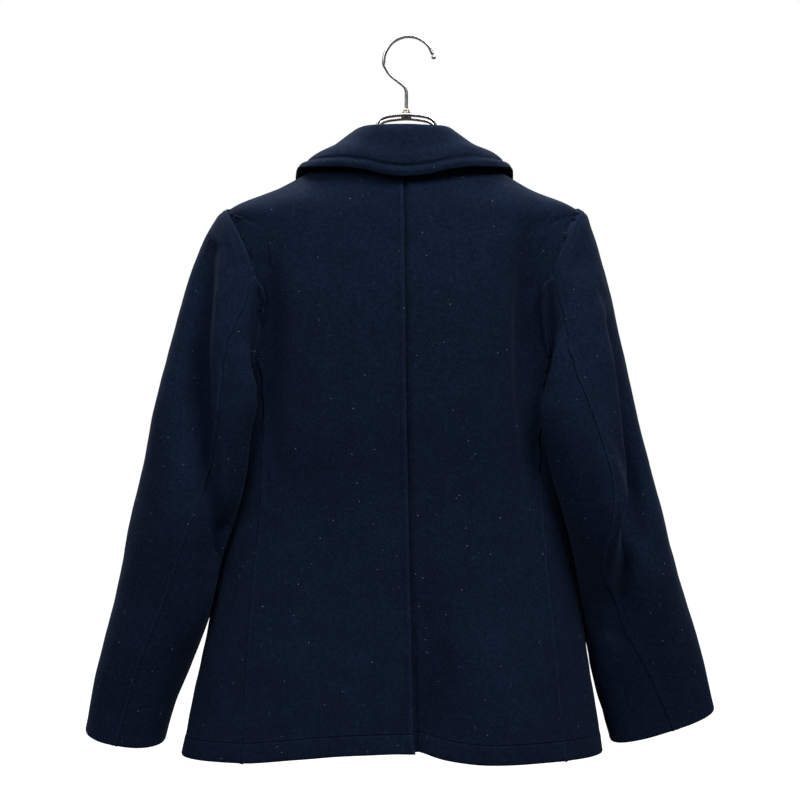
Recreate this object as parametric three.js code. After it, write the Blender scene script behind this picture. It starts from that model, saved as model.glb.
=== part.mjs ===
// A short double-breasted pea coat of thick navy wool, hanging on a steel wire hanger.
// Millimetres, +Z up. The coat's front faces -Y and its back +Y, and the wearer's left is +X.
// The origin is where a rail touches the inside of the hook.
// The cloth pieces are walls: each is a grid of outer points on one shared surface, and a second grid a
// cloth thickness inside it, closed round the rim. Neighbouring pieces stop SEAM_GAP apart at their seam.

import * as THREE from 'three';

// Driving dimensions
const CLOTH = 2.4;            // one layer of melton wool
const COLLAR_CLOTH = 4.0;     // upper collar and under collar, sewn together
const SEAM_GAP = 0.4;         // between two pieces at their seam
const LAYER_GAP = 0.7;        // between two layers that lie on each other

const SHOULDER_TIP_Z = -189;  // top of the armhole
const UNDERARM_Z = -402;      // bottom of the armhole
const ARMHOLE_INSET = 38;     // degrees that the armhole's middle lies in from the side
const NECK_POINT_Z = -130;    // shoulder seam's upper end
const BACK_NECK_Z = -140;     // neckline at the centre back
const FRONT_NECK_Z = -136;    // neckline where the lapel's roll begins
const FRONT_NECK_TURN = 40;   // degrees from the centre front to that point

const HEM_Z = -785;           // about; the table HEM gives it all round
const VENT_TOP_Z = -600;
const SEAM_ALLOWANCE = 12;    // pressed under the wearer's left back, above the vent
const VENT_UNDERLAP = 40;     // and below its top
const STEP_DOWN = 6;          // from the seam, where the right back starts to dip under the left
const BREAK_Z = -335;         // where the lapel's roll line meets the front edge
const FRONT_OVERLAP = 75;     // each front runs this far past the centre front

const BUTTON_RADIUS = 14;
const BUTTON_THICKNESS = 5;
const BUTTON_RIM = 3;         // width of its raised rim
const BUTTON_DISH = 1.9;      // depth inside the rim
const BUTTON_EDGE = 1.2;      // bevel of the rim, and a little more of its foot
const BUTTON_COLUMN = 50;     // from the centre front
const BUTTON_ROWS = [-352, -452, -552];

const WIRE_RADIUS = 1.9;      // hook and hanger wire
const HOOK_RADIUS = 27.6;     // to the wire's centre
const HOOK_BALL_RADIUS = 2.6;
const HARD_GAP = 0.3;         // between two metal pieces that touch
const HANGER_WIRE_Y = 16;     // the two shoulder wires, each side of the middle
const HANGER_REACH = 156;     // where the two wires turn into each other

const WOOL = { color: 0x0b111d, roughness: 0.95, metalness: 0 };
const HORN = { color: 0x11131a, roughness: 0.4, metalness: 0 };
const STEEL = { color: 0xa9a49b, roughness: 0.28, metalness: 1 };
const BRASS = { color: 0xb09a6c, roughness: 0.35, metalness: 1 };

// The body's rings, from the neck to the hem. left and right are the widest points of the ring and mid its
// middle, in X; back and front are its depths from the shoulder seams' plane; power squares its corners.
const BODY_RINGS = [
  { z: -126, left: 63, right: -63, mid: 2.5, back: 45, front: 44, power: 2.0 },
  { z: -130, left: 73, right: -72, mid: 2.5, back: 47, front: 46, power: 2.0 },
  { z: -141, left: 95, right: -93, mid: 2.5, back: 51, front: 52, power: 2.0 },
  { z: -161, left: 131, right: -126, mid: 2.5, back: 58, front: 60, power: 2.0 },
  { z: -174, left: 158, right: -153, mid: 2.5, back: 63, front: 66, power: 2.05 },
  { z: -189, left: 195, right: -188, mid: 2.5, back: 67, front: 71, power: 2.1 },
  { z: -205, left: 201, right: -194, mid: 2, back: 70, front: 75, power: 2.15 },
  { z: -240, left: 203, right: -197, mid: 2, back: 75, front: 81, power: 2.2 },
  { z: -300, left: 199, right: -193, mid: 1, back: 80, front: 87, power: 2.3 },
  { z: -400, left: 190, right: -180, mid: 0, back: 79, front: 87, power: 2.35 },
  { z: -500, left: 192, right: -178, mid: -2, back: 73, front: 80, power: 2.3 },
  { z: -600, left: 208, right: -189, mid: -4, back: 77, front: 80, power: 2.3 },
  { z: -700, left: 230, right: -203, mid: -6, back: 84, front: 86, power: 2.3 },
  { z: -790, left: 247, right: -216, mid: -8, back: 90, front: 92, power: 2.3 },
];

// The seams between the back, side and front panels, in X at the wearer's left and right.
const SIDE_SEAMS = [
  { z: -356, backLeft: 164, backRight: -158, frontLeft: 164, frontRight: -158 },
  { z: -420, backLeft: 159, backRight: -150, frontLeft: 162, frontRight: -152 },
  { z: -510, backLeft: 158, backRight: -148, frontLeft: 163, frontRight: -151 },
  { z: -600, backLeft: 166, backRight: -154, frontLeft: 174, frontRight: -158 },
  { z: -690, backLeft: 171, backRight: -162, frontLeft: 187, frontRight: -167 },
  { z: -790, backLeft: 175, backRight: -171, frontLeft: 200, frontRight: -177 },
];

// The hem's height, round the back and the front, by X.
const HEM = [
  { x: -240, back: -781, front: -783 },
  { x: -171, back: -784, front: -786 },
  { x: -85, back: -783.5, front: -788 },
  { x: -37, back: -779, front: -788 },
  { x: -8, back: -773, front: -788 },
  { x: 60, back: -774, front: -788 },
  { x: 118, back: -779, front: -787 },
  { x: 175, back: -785.5, front: -786 },
  { x: 260, back: -788, front: -785 },
];

// Soft hollows (depth below 0) and rounds in the body, centred at x and z and fading over width and height.
const BODY_FOLDS = [
  { face: 1, x: -10, z: -740, depth: -9, width: 34, height: 110 },
  { face: 1, x: -105, z: -790, depth: 9, width: 50, height: 150 },
  { face: 1, x: 110, z: -790, depth: 6, width: 60, height: 150 },
  { face: 1, x: -138, z: -320, depth: -7, width: 17, height: 85 },
  { face: 1, x: 142, z: -330, depth: -5, width: 14, height: 70 },
  { face: 1, x: -135, z: -500, depth: -5, width: 20, height: 90 },
  { face: -1, x: -128, z: -330, depth: -7, width: 18, height: 80 },
  { face: -1, x: 132, z: -330, depth: -7, width: 18, height: 80 },
  { face: -1, x: -130, z: -790, depth: 7, width: 45, height: 140 },
  { face: -1, x: 140, z: -790, depth: 8, width: 45, height: 150 },
];

// Level sections down each sleeve. outer and inner are its sides in X, back and front in Y; skew leans the
// section's back towards the body; turn twists the seams round it, in degrees; lean raises its outer side.
const SLEEVES = {
  left: [
    { z: -431, outer: 281, inner: 163, back: 68, front: -50, skew: 14, turn: 27, lean: 0 },
    { z: -481, outer: 292, inner: 172, back: 66, front: -50, skew: 14, turn: 26, lean: 0 },
    { z: -530, outer: 303, inner: 182, back: 62, front: -50, skew: 12, turn: 20, lean: 0 },
    { z: -580, outer: 313, inner: 193, back: 54, front: -51, skew: 9, turn: 15, lean: 1 },
    { z: -629, outer: 324, inner: 209, back: 44, front: -52, skew: 5, turn: 15, lean: 2 },
    { z: -679, outer: 337, inner: 232, back: 36, front: -53, skew: 0, turn: 15, lean: 3 },
    { z: -728, outer: 348, inner: 254, back: 28, front: -52, skew: 0, turn: 15, lean: 3 },
    { z: -767, outer: 355, inner: 267, back: 24, front: -52, skew: 0, turn: 12, lean: 6 },
  ],
  right: [
    { z: -431, outer: 258, inner: 149, back: 72, front: -50, skew: 16, turn: 6, lean: 0 },
    { z: -475, outer: 269, inner: 162, back: 70, front: -50, skew: 15, turn: 7, lean: 1 },
    { z: -525, outer: 281, inner: 178, back: 66, front: -50, skew: 12, turn: 16, lean: 3 },
    { z: -570, outer: 292, inner: 190, back: 56, front: -51, skew: 8, turn: 30, lean: 5 },
    { z: -615, outer: 305, inner: 198, back: 44, front: -51, skew: 3, turn: 32, lean: 7 },
    { z: -665, outer: 320, inner: 206, back: 30, front: -48, skew: 0, turn: 22, lean: 9 },
    { z: -710, outer: 331, inner: 212, back: 17, front: -42, skew: 0, turn: 13, lean: 12 },
    { z: -756, outer: 341, inner: 225, back: 8, front: -38, skew: 0, turn: 7, lean: 17 },
  ],
};

// Ridges and hollows of the sleeves' largest folds: around is in degrees from the outer side towards the back.
const SLEEVE_FOLDS = {
  left: [
    { around: 70, z: -400, depth: -9, spread: 22, height: 70 },
    { around: 112, z: -400, depth: 6, spread: 26, height: 60 },
    { around: 125, z: -570, depth: -7, spread: 26, height: 40 },
    { around: 250, z: -520, depth: -6, spread: 30, height: 45 },
  ],
  right: [
    { around: 52, z: -480, depth: -11, spread: 20, height: 90 },
    { around: 84, z: -470, depth: 9, spread: 20, height: 95 },
    { around: 130, z: -600, depth: -7, spread: 26, height: 60 },
    { around: 250, z: -520, depth: -6, spread: 30, height: 45 },
  ],
};

// How each sleeve leaves the shoulder at the top of its cap: how far it goes straight on, as a share of the
// cap's length, and how steeply it drops there; and the same share for the straight run into the first section.
const CAPS = {
  left: { out: 0.62, drop: 0.4, into: 0.8 },
  right: { out: 0.3, drop: 0.2, into: 1.0 },
};

// The collar from the centre back (at 0) past the neck point (0.6) to its front end (at 1), on the wearer's
// left. The roll is the fold between stand and fall, from the middle. The fall's bend and its outer edge lie
// over the body: round it in degrees, at a height, and so far off it.
const COLLAR = [
  { at: 0.0, rollX: 0, rollY: 50, rollZ: -105.5, bend: 0, bendZ: -146, bendOff: 12, edge: 0, edgeZ: -161, edgeOff: 7 },
  { at: 0.2, rollX: 22, rollY: 47, rollZ: -105.2, bend: 21, bendZ: -144, bendOff: 12, edge: 22, edgeZ: -158, edgeOff: 7 },
  { at: 0.4, rollX: 40, rollY: 34, rollZ: -104.6, bend: 48, bendZ: -141, bendOff: 11, edge: 51, edgeZ: -155, edgeOff: 7 },
  { at: 0.6, rollX: 52, rollY: 2, rollZ: -107, bend: 88, bendZ: -141, bendOff: 8, edge: 89, edgeZ: -152, edgeOff: 5 },
  { at: 0.8, rollX: 51, rollY: -25, rollZ: -114, bend: 124, bendZ: -157, bendOff: 8, edge: 128, edgeZ: -171, edgeOff: 5 },
  { at: 1.0, rollX: 46, rollY: -44, rollZ: -125, bend: 144, bendZ: -181, bendOff: 7, edge: 140, edgeZ: -190, edgeOff: 6 },
];

// Corners of the lapels on the front, in X and Z: the wearer's left one, whose lower end goes behind the
// right front, and the right one, which runs down to the break.
const LAPELS = {
  left: { gorge: [50, -146], tip: [142, -217], lowInner: [3.5, -220], lowOuter: [40, -271] },
  right: { gorge: [-50, -146], tip: [-142, -217], lowInner: [72.5, -331], lowOuter: [76, -331] },
};

const POCKET = { x: 128, top: -560, bottom: -700, slant: 14, width: 24 };

const COLUMNS = 12;           // grid steps across a back or front panel
const HEM_ROWS = 13;          // grid steps from the hem to the armhole's side seam
const ARMHOLE_STEPS = 20;     // grid steps round an armhole
const SIDE_STEP = 7;          // of these, where the side panel's back seam meets the armhole
const SHOULDER_ROWS = 6;      // grid steps along the shoulder seam
const SLEEVE_BACK_STEP = 4;   // where the sleeve's back seam meets the armhole
const SLEEVE_FRONT_STEP = 14; // and its front seam
const SLEEVE_ROWS = 23;
const CAP_ROWS = 8;           // of these, over the cap, above the first section
const FRONT_COLUMNS = 14;
const COLLAR_STEPS = 24;
const COLLAR_ROWS = 13;
const LAPEL_ROWS = 9;
const LAPEL_COLUMNS = 6;
const WELT_ROWS = 7;
const WELT_COLUMNS = 3;
const UNDERLAP_COLUMNS = 3;   // of the wearer's right back, beyond the centre seam
const HANGER_STEPS = 96;      // along the wire
const HOOK_STEPS = 44;
const ROUND_STEPS = 16;       // round a button

const SLEEVE_POWER = 2.2;     // squares the sleeve's sections a little
const SLEEVE_CLEARANCE = 3;   // from the body's side
const CLEARANCE_SOFTNESS = 4; // how gently the sleeve is pushed out to it
const CUFF_DIP = 9;           // the cuff's back edge hangs lower
const ROLL_NECK_X = 50;       // where the lapel's roll line meets the neckline
const NECK_POINT_AT = 0.6;    // the neck point's place in the collar's table
const COLLAR_ROLL = 6;        // radius of the fold between stand and fall
const LAPEL_CLOTH = 3.6;      // the front's own cloth and its facing
const LAPEL_ROLL = 4;         // how high the lapel springs off the front
const WIRE_CLEARANCE = 1.2;   // between the hanger's wire and the cloth that rests on it
const STEM_OFFSET = 2.75;     // the hook's stem from the middle of its arc
// The hanger's arch at the neck, from beside the nut down to the shoulder, in X and Z.
const HANGER_ARCH = [[8, -87], [20, -88.6], [28, -91.5], [32.2, -97.5], [32, -109], [36, -124], [49, -139], [65, -147]];
const NUT_TOP = -80.5;
const NUT_BOTTOM = -84.5;
const NUT_RADIUS = 4.4;
const BRIDGE_WIDTH = 11;      // the plate that joins the two wires and carries the hook
const BRIDGE_HEIGHT = 3.6;
// The hook from its open end, in degrees round its centre, and then its stem, in X and Z.
const HOOK_ARC = [163, 140, 110, 80, 50, 20, 4, -8];
const HOOK_STEM = [[22.6, -33], [20.2, -37.4], [16.4, -41.8], [10.6, -46.3], [5.2, -50.6], [2.1, -53.4],
  [0.4, -57], [0, -62], [0, -70]];

const radians = (degrees) => THREE.MathUtils.degToRad(degrees);
const mix = THREE.MathUtils.lerp;
const bell = (x) => Math.exp(-x * x);
const vec = (x, y, z) => new THREE.Vector3(x, y, z);

// 0 at and before from, 1 at and after to, smooth between; to may be the smaller.
function ramp(x, from, to) {
  const t = THREE.MathUtils.clamp((x - from) / (to - from), 0, 1);
  return t * t * (3 - 2 * t);
}

// Reads a table's columns between its rows, along a smooth curve that doesn't overshoot them.
function reader(rows, key) {
  const sorted = [...rows].sort((a, b) => a[key] - b[key]);
  const at = sorted.map((row) => row[key]);
  const slopes = {};
  const slopesOf = (name) => {
    const steps = at.slice(1).map((x, i) => (sorted[i + 1][name] - sorted[i][name]) / (x - at[i]));
    return at.map((_, i) => {
      const [before, after] = [steps[Math.max(0, i - 1)], steps[Math.min(steps.length - 1, i)]];
      return before * after <= 0 ? 0 : (2 * before * after) / (before + after);
    });
  };
  return (name, x) => {
    slopes[name] ??= slopesOf(name);
    const place = THREE.MathUtils.clamp(x, at[0], at.at(-1));
    const i = Math.min(at.length - 2, at.findLastIndex((a) => a <= place));
    const length = at[i + 1] - at[i];
    const t = (place - at[i]) / length;
    const [from, to] = [sorted[i][name], sorted[i + 1][name]];
    return (2 * t ** 3 - 3 * t ** 2 + 1) * from + (t ** 3 - 2 * t ** 2 + t) * length * slopes[name][i]
      + (3 * t ** 2 - 2 * t ** 3) * to + (t ** 3 - t ** 2) * length * slopes[name][i + 1];
  };
}

const body = reader(BODY_RINGS, 'z');
const sideSeams = reader(SIDE_SEAMS, 'z');
const hem = reader(HEM, 'x');
const collarLine = reader(COLLAR, 'at');
const sleeveAt = { 1: reader(SLEEVES.left, 'z'), '-1': reader(SLEEVES.right, 'z') };
const sideName = (side) => (side > 0 ? 'left' : 'right');

// The body ring's half width at a height, on the side of the middle that x is on.
function halfWidth(z, x) {
  const middle = body('mid', z);
  return x >= middle ? body('left', z) - middle : middle - body('right', z);
}

// A point of the body's outer surface. side is 1 at the wearer's left and -1 at the right; around runs from 0
// at the centre back through 90 at the side to 180 at the centre front.
function bodyPoint(side, around, z) {
  const across = side * Math.sin(radians(around));
  const middle = body('mid', z);
  const x = middle + across * halfWidth(z, middle + across);
  const face = Math.sign(Math.cos(radians(around))) || 1;
  const power = body('power', z);
  const reach = Math.max(0, 1 - Math.abs(across) ** power) ** (1 / power);
  const folds = BODY_FOLDS.filter((fold) => fold.face === face).reduce(
    (sum, fold) => sum + fold.depth * bell((x - fold.x) / fold.width) * bell((z - fold.z) / fold.height), 0);
  return vec(x, face * (body(face > 0 ? 'back' : 'front', z) * reach + folds * ramp(reach, 0, 0.5)), z);
}

function bodyNormal(side, around, z) {
  const across = bodyPoint(side, around + 0.4, z).sub(bodyPoint(side, around - 0.4, z));
  const up = bodyPoint(side, around, z + 0.5).sub(bodyPoint(side, around, z - 0.5));
  return up.cross(across).multiplyScalar(side).normalize();
}

// Where the surface reaches x at a height, on its back or front: the angle round it for bodyPoint.
function aroundAt(side, x, z, atFront) {
  const share = THREE.MathUtils.clamp((side * (x - body('mid', z))) / halfWidth(z, x), -1, 1);
  const turn = THREE.MathUtils.radToDeg(Math.asin(share));
  return atFront ? 180 - turn : turn;
}

// A cell is what a wall's grid holds: a point of its outer face and the direction out of the cloth there.
function bodyCell(side, around, z, off = 0) {
  const normal = bodyNormal(side, around, z);
  return { point: bodyPoint(side, around, z).addScaledVector(normal, off), normal };
}

const frontCell = (side, x, z, off) => bodyCell(side, aroundAt(side, x, z, true), z, off);

// The wearer's right front lies on the left one, so it is raised where they overlap.
function frontLift(side, x, z) {
  if (side > 0) return 0;
  return (CLOTH + LAYER_GAP) * ramp(x, -115, -80) * ramp(z, -180, -212);
}

// The armhole, from the shoulder tip at step 0 down its back to the underarm at 10 and up its front to 20.
function armhole(step) {
  const turn = (step / ARMHOLE_STEPS) * 2 * Math.PI;
  const z = (SHOULDER_TIP_Z + UNDERARM_Z) / 2 + ((SHOULDER_TIP_Z - UNDERARM_Z) / 2) * Math.cos(turn);
  const inset = ARMHOLE_INSET * Math.sign(Math.sin(turn)) * Math.abs(Math.sin(turn)) ** 0.9;
  return { around: 90 - inset, z };
}

const seamColumn = (side, atFront) => (atFront ? 'front' : 'back') + (side > 0 ? 'Left' : 'Right');

// The seam between a side panel and the back, or the front, at a height. It ends on the armhole.
function sideSeam(side, z, atFront) {
  const column = seamColumn(side, atFront);
  const end = armhole(atFront ? ARMHOLE_STEPS - SIDE_STEP : SIDE_STEP);
  const drift = end.around - aroundAt(side, sideSeams(column, end.z), end.z, atFront);
  return aroundAt(side, sideSeams(column, z), z, atFront) + drift * ramp(z, end.z - 90, end.z);
}

// A closed wall from a grid of cells: their points, and the same points thick mm deeper, joined round the rim.
function wall(grid, thick) {
  const rows = grid.length;
  const columns = grid[0].length;
  const cells = grid.flat();
  const inner = cells.map(({ point, normal }) => point.clone().addScaledVector(normal, -thick));
  const positions = [...cells.map(({ point }) => point), ...inner].flatMap((point) => point.toArray());
  const at = (row, column, deep) => (deep * rows + row) * columns + column;
  const index = [];
  const quad = (a, b, c, d) => index.push(a, b, c, a, c, d);
  const [lastRow, lastColumn] = [rows - 1, columns - 1];
  for (let row = 0; row < lastRow; row += 1) {
    for (let column = 0; column < lastColumn; column += 1) {
      quad(at(row, column, 0), at(row, column + 1, 0), at(row + 1, column + 1, 0), at(row + 1, column, 0));
      quad(at(row, column, 1), at(row + 1, column, 1), at(row + 1, column + 1, 1), at(row, column + 1, 1));
    }
    quad(at(row, 0, 0), at(row + 1, 0, 0), at(row + 1, 0, 1), at(row, 0, 1));
    quad(at(row, lastColumn, 0), at(row, lastColumn, 1), at(row + 1, lastColumn, 1), at(row + 1, lastColumn, 0));
  }
  for (let column = 0; column < lastColumn; column += 1) {
    quad(at(0, column, 0), at(0, column, 1), at(0, column + 1, 1), at(0, column + 1, 0));
    quad(at(lastRow, column, 0), at(lastRow, column + 1, 0), at(lastRow, column + 1, 1), at(lastRow, column, 1));
  }
  const [i, j] = [Math.floor(lastRow / 2), Math.floor(lastColumn / 2)];
  const across = grid[i][j + 1].point.clone().sub(grid[i][j].point);
  const down = grid[i + 1][j].point.clone().sub(grid[i][j].point);
  if (across.cross(down).dot(grid[i][j].normal) < 0) index.reverse();
  const geometry = new THREE.BufferGeometry();
  geometry.setAttribute('position', new THREE.Float32BufferAttribute(positions, 3));
  geometry.setIndex(index);
  geometry.computeVertexNormals();
  return geometry;
}

// Draws a grid's four edges in by half the seam gap, each towards the next line of the grid.
function drawIn(grid) {
  const [lastRow, lastColumn] = [grid.length - 1, grid[0].length - 1];
  const step = (from, to) => to.point.clone().sub(from.point).setLength(SEAM_GAP / 2);
  return grid.map((line, row) => line.map((cell, column) => {
    const point = cell.point.clone();
    if (row === 0) point.add(step(cell, grid[1][column]));
    if (row === lastRow) point.add(step(cell, grid[lastRow - 1][column]));
    if (column === 0) point.add(step(cell, line[1]));
    if (column === lastColumn) point.add(step(cell, line[lastColumn - 1]));
    return { point, normal: cell.normal };
  }));
}

const grid = (rows, columns, cellAt) => Array.from({ length: rows + 1 }, (_, row) => (
  Array.from({ length: columns + 1 }, (__, column) => cellAt(row, column))));

// A sleeve's surface. step counts round it as the armhole's steps do, and z is the level of the section.
function sleeveSection(side, step, z) {
  const at = (name) => sleeveAt[side](name, z);
  const angle = radians((step * 360) / ARMHOLE_STEPS + at('turn'));
  const [middleX, halfX] = [(at('outer') + at('inner')) / 2, (at('outer') - at('inner')) / 2];
  const [middleY, halfY] = [(at('back') + at('front')) / 2, (at('back') - at('front')) / 2];
  const squared = (share) => Math.sign(share) * Math.abs(share) ** (2 / SLEEVE_POWER);
  const [shareX, shareY] = [squared(Math.cos(angle)), squared(Math.sin(angle))];
  const degrees = THREE.MathUtils.euclideanModulo(THREE.MathUtils.radToDeg(angle), 360);
  const fold = SLEEVE_FOLDS[sideName(side)].reduce((sum, { around, z: level, depth, spread, height }) => (
    sum + depth * bell((degrees - around) / spread) * bell((z - level) / height)), 0);
  const x = middleX + halfX * shareX - at('skew') * Math.max(0, shareY) + fold * Math.cos(angle);
  const y = middleY + halfY * shareY + fold * Math.sin(angle);
  const low = z + at('lean') * shareX - CUFF_DIP * shareY * ramp(z, -600, -768);
  return vec(side * clearOfBody(side, x, y, low), y, low);
}

// Moves x, measured towards the sleeve, out until it clears the body's side.
function clearOfBody(side, x, y, z) {
  const depth = body(y > 0 ? 'back' : 'front', z);
  const power = body('power', z);
  const share = Math.max(0, 1 - (Math.abs(y) / depth) ** power) ** (1 / power);
  const middle = body('mid', z);
  const limit = side * middle + halfWidth(z, middle + side) * share + SLEEVE_CLEARANCE;
  return x + CLEARANCE_SOFTNESS * Math.log1p(Math.exp((limit - x) / CLEARANCE_SOFTNESS));
}

// From the armhole (down = 0) over the cap to the first section (1) and on, a section a step, to the cuff.
function sleevePoint(side, step, down) {
  const capEnd = SLEEVES[sideName(side)][0].z;
  if (down >= 1) {
    const cuff = SLEEVES[sideName(side)].at(-1).z;
    const share = ((down - 1) * CAP_ROWS) / (SLEEVE_ROWS - CAP_ROWS);
    return sleeveSection(side, step, mix(capEnd, cuff, share));
  }
  const hole = armhole(THREE.MathUtils.euclideanModulo(step, ARMHOLE_STEPS));
  const start = bodyPoint(side, hole.around, hole.z);
  const end = sleeveSection(side, step, capEnd);
  const angle = radians((step * 360) / ARMHOLE_STEPS);
  const reach = start.distanceTo(end);
  const cap = CAPS[sideName(side)];
  const top = 0.5 + 0.5 * Math.cos(angle);
  const outward = vec(side * 0.9, 0.12 * Math.sin(angle), -cap.drop * top - 0.16 * Math.abs(Math.sin(angle)));
  outward.setLength(reach * mix(0.68, cap.out, top));
  const along = sleeveSection(side, step, capEnd - 10).sub(end).setLength(reach * mix(0.85, cap.into, top));
  const t = down;
  return start.multiplyScalar(2 * t ** 3 - 3 * t ** 2 + 1)
    .addScaledVector(outward, t ** 3 - 2 * t ** 2 + t)
    .addScaledVector(end, 3 * t ** 2 - 2 * t ** 3)
    .addScaledVector(along, t ** 3 - t ** 2);
}

function sleeveNormal(side, step, down) {
  const [above, below] = [Math.max(0, down - 0.01), down + 0.01];
  const along = sleevePoint(side, step, below).sub(sleevePoint(side, step, above));
  const across = sleevePoint(side, step + 0.02, down).sub(sleevePoint(side, step - 0.02, down));
  return along.cross(across).multiplyScalar(side).normalize();
}

// Where a sleeve meets the body both walls end on the plane halfway between them.
function armholeNormal(side, step) {
  const hole = armhole(THREE.MathUtils.euclideanModulo(step, ARMHOLE_STEPS));
  const onBody = bodyNormal(side, hole.around, hole.z);
  const between = onBody.clone().add(sleeveNormal(side, step, 0)).normalize();
  return between.divideScalar(Math.max(0.6, between.dot(onBody)));
}

function armholeCell(side, step) {
  const hole = armhole(step);
  return { point: bodyPoint(side, hole.around, hole.z), normal: armholeNormal(side, step) };
}

// The outer edge of a back or front panel by row: side seam, armhole, then shoulder seam up to the neck.
function outerEdge(side, row, atFront) {
  const topRow = HEM_ROWS + SIDE_STEP;
  if (row <= HEM_ROWS) {
    const low = hem(atFront ? 'front' : 'back', sideSeams(seamColumn(side, atFront), HEM_Z));
    const z = mix(low, armhole(SIDE_STEP).z, row / HEM_ROWS);
    return { around: sideSeam(side, z, atFront), z };
  }
  if (row <= topRow) {
    const step = topRow - row;
    return armhole(atFront ? ARMHOLE_STEPS - step : step);
  }
  return { around: 90, z: mix(SHOULDER_TIP_Z, NECK_POINT_Z, (row - topRow) / SHOULDER_ROWS) };
}

// A panel's cell: share of the way from its inner edge to its outer one. At the armhole the wall is mitred.
function panelCell(side, row, share, inner, atFront, off = 0) {
  const outer = outerEdge(side, row, atFront);
  const around = mix(inner.around, outer.around, share);
  let z = mix(inner.z, outer.z, share);
  if (row <= HEM_ROWS) {
    const x = bodyPoint(side, around, HEM_Z).x;
    z = mix(hem(atFront ? 'front' : 'back', x), mix(inner.top, armhole(SIDE_STEP).z, share), row / HEM_ROWS);
  }
  const step = HEM_ROWS + SIDE_STEP - row;
  if (share === 1 && step >= 0 && step <= SIDE_STEP) {
    return armholeCell(side, atFront ? (ARMHOLE_STEPS - step) % ARMHOLE_STEPS : step);
  }
  return bodyCell(side, around, z, off);
}

const PANEL_ROWS = HEM_ROWS + SIDE_STEP + SHOULDER_ROWS;

// Heights of a panel's inner edge by row, from the hem to the neck.
function innerHeight(row, levels) {
  const at = levels.findLastIndex((level) => level.row <= row);
  if (at === levels.length - 1) return levels[at].z;
  const [from, to] = [levels[at], levels[at + 1]];
  return mix(from.z, to.z, (row - from.row) / (to.row - from.row));
}

const BACK_LEVELS = [
  { row: 0, z: hem('back', 0) },
  { row: HEM_ROWS, z: -375 },
  { row: HEM_ROWS + SIDE_STEP, z: -220 },
  { row: PANEL_ROWS, z: BACK_NECK_Z },
];

// The wearer's right back goes on past the centre seam, a step lower, under the left back.
function backPanel(side) {
  const under = side < 0 ? UNDERLAP_COLUMNS : 0;
  const cells = grid(PANEL_ROWS, COLUMNS + under, (row, column) => {
    const z = innerHeight(row, BACK_LEVELS);
    const inner = { around: 0, z, top: BACK_LEVELS[1].z };
    const share = (column - under) / COLUMNS;
    if (column >= under && (side > 0 || column > under)) return panelCell(side, row, share, inner, false);
    const level = Math.max(z, hem('back', 0));
    if (column === under) return bodyCell(side, acrossBack(side, STEP_DOWN, level), level);
    const lap = mix(SEAM_ALLOWANCE, VENT_UNDERLAP, ramp(level, VENT_TOP_Z + 15, VENT_TOP_Z - 25));
    const distance = [-lap, -lap / 2, 1][column];
    return bodyCell(side, acrossBack(side, distance, level), level, -CLOTH - LAYER_GAP);
  });
  return wall(drawIn(cells), CLOTH);
}

// The angle round the back at so many mm from the centre seam towards a side.
function acrossBack(side, distance, z) {
  return aroundAt(side, body('mid', z) + side * distance, z, false);
}

const FRONT_LEVELS = [
  { row: 0, z: hem('front', 0) },
  { row: HEM_ROWS, z: -385 },
  { row: HEM_ROWS + 2, z: BREAK_Z },
  { row: HEM_ROWS + SIDE_STEP, z: -222 },
  { row: PANEL_ROWS, z: FRONT_NECK_Z },
];

// A front's inner edge: straight up past the buttons, then along the lapel's roll line to the neck.
function frontEdgeX(side, z) {
  const past = -side * FRONT_OVERLAP;
  if (z <= BREAK_Z) return past;
  return mix(past, side * ROLL_NECK_X, (z - BREAK_Z) / (FRONT_NECK_Z - BREAK_Z));
}

function frontPanel(side) {
  const cells = grid(PANEL_ROWS, FRONT_COLUMNS, (row, column) => {
    const z = innerHeight(row, FRONT_LEVELS);
    const inner = { around: aroundAt(side, frontEdgeX(side, z), z, true), z, top: FRONT_LEVELS[1].z };
    const flat = panelCell(side, row, column / FRONT_COLUMNS, inner, true);
    const lift = frontLift(side, flat.point.x, flat.point.z);
    return { point: flat.point.clone().addScaledVector(flat.normal, lift), normal: flat.normal };
  });
  return wall(drawIn(cells), CLOTH);
}

function sidePanel(side) {
  const across = ARMHOLE_STEPS - 2 * SIDE_STEP;
  const cells = grid(HEM_ROWS, across, (row, column) => {
    const step = SIDE_STEP + column;
    if (row === HEM_ROWS) return armholeCell(side, step);
    const share = column / across;
    const [back, front] = [outerEdge(side, row, false), outerEdge(side, row, true)];
    const around = mix(back.around, front.around, share);
    const x = bodyPoint(side, around, HEM_Z).x;
    const low = mix(hem('back', x), hem('front', x), share);
    const z = mix(low, armhole(step).z, row / HEM_ROWS);
    return bodyCell(side, around, z);
  });
  return wall(drawIn(cells), CLOTH);
}

function sleeveHalf(side, fromStep, toStep) {
  const count = Math.abs(toStep - fromStep);
  const cells = grid(SLEEVE_ROWS, count, (row, column) => {
    const step = mix(fromStep, toStep, column / count);
    const down = row / CAP_ROWS;
    const normal = row === 0 ? armholeNormal(side, step) : sleeveNormal(side, step, down);
    return { point: sleevePoint(side, step, down), normal };
  });
  return wall(drawIn(cells), CLOTH);
}

// The neckline that the collar's stand sits on, from the centre back (at 0) to the start of the gorge (1).
function neckline(side, at) {
  if (at <= NECK_POINT_AT) {
    const share = at / NECK_POINT_AT;
    return bodyCell(side, 90 * share, mix(BACK_NECK_Z, NECK_POINT_Z, share));
  }
  const share = (at - NECK_POINT_AT) / (1 - NECK_POINT_AT);
  const frontEnd = aroundAt(side, side * ROLL_NECK_X, FRONT_NECK_Z, true);
  return bodyCell(side, mix(90, frontEnd, share), mix(NECK_POINT_Z, FRONT_NECK_Z, share));
}

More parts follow.
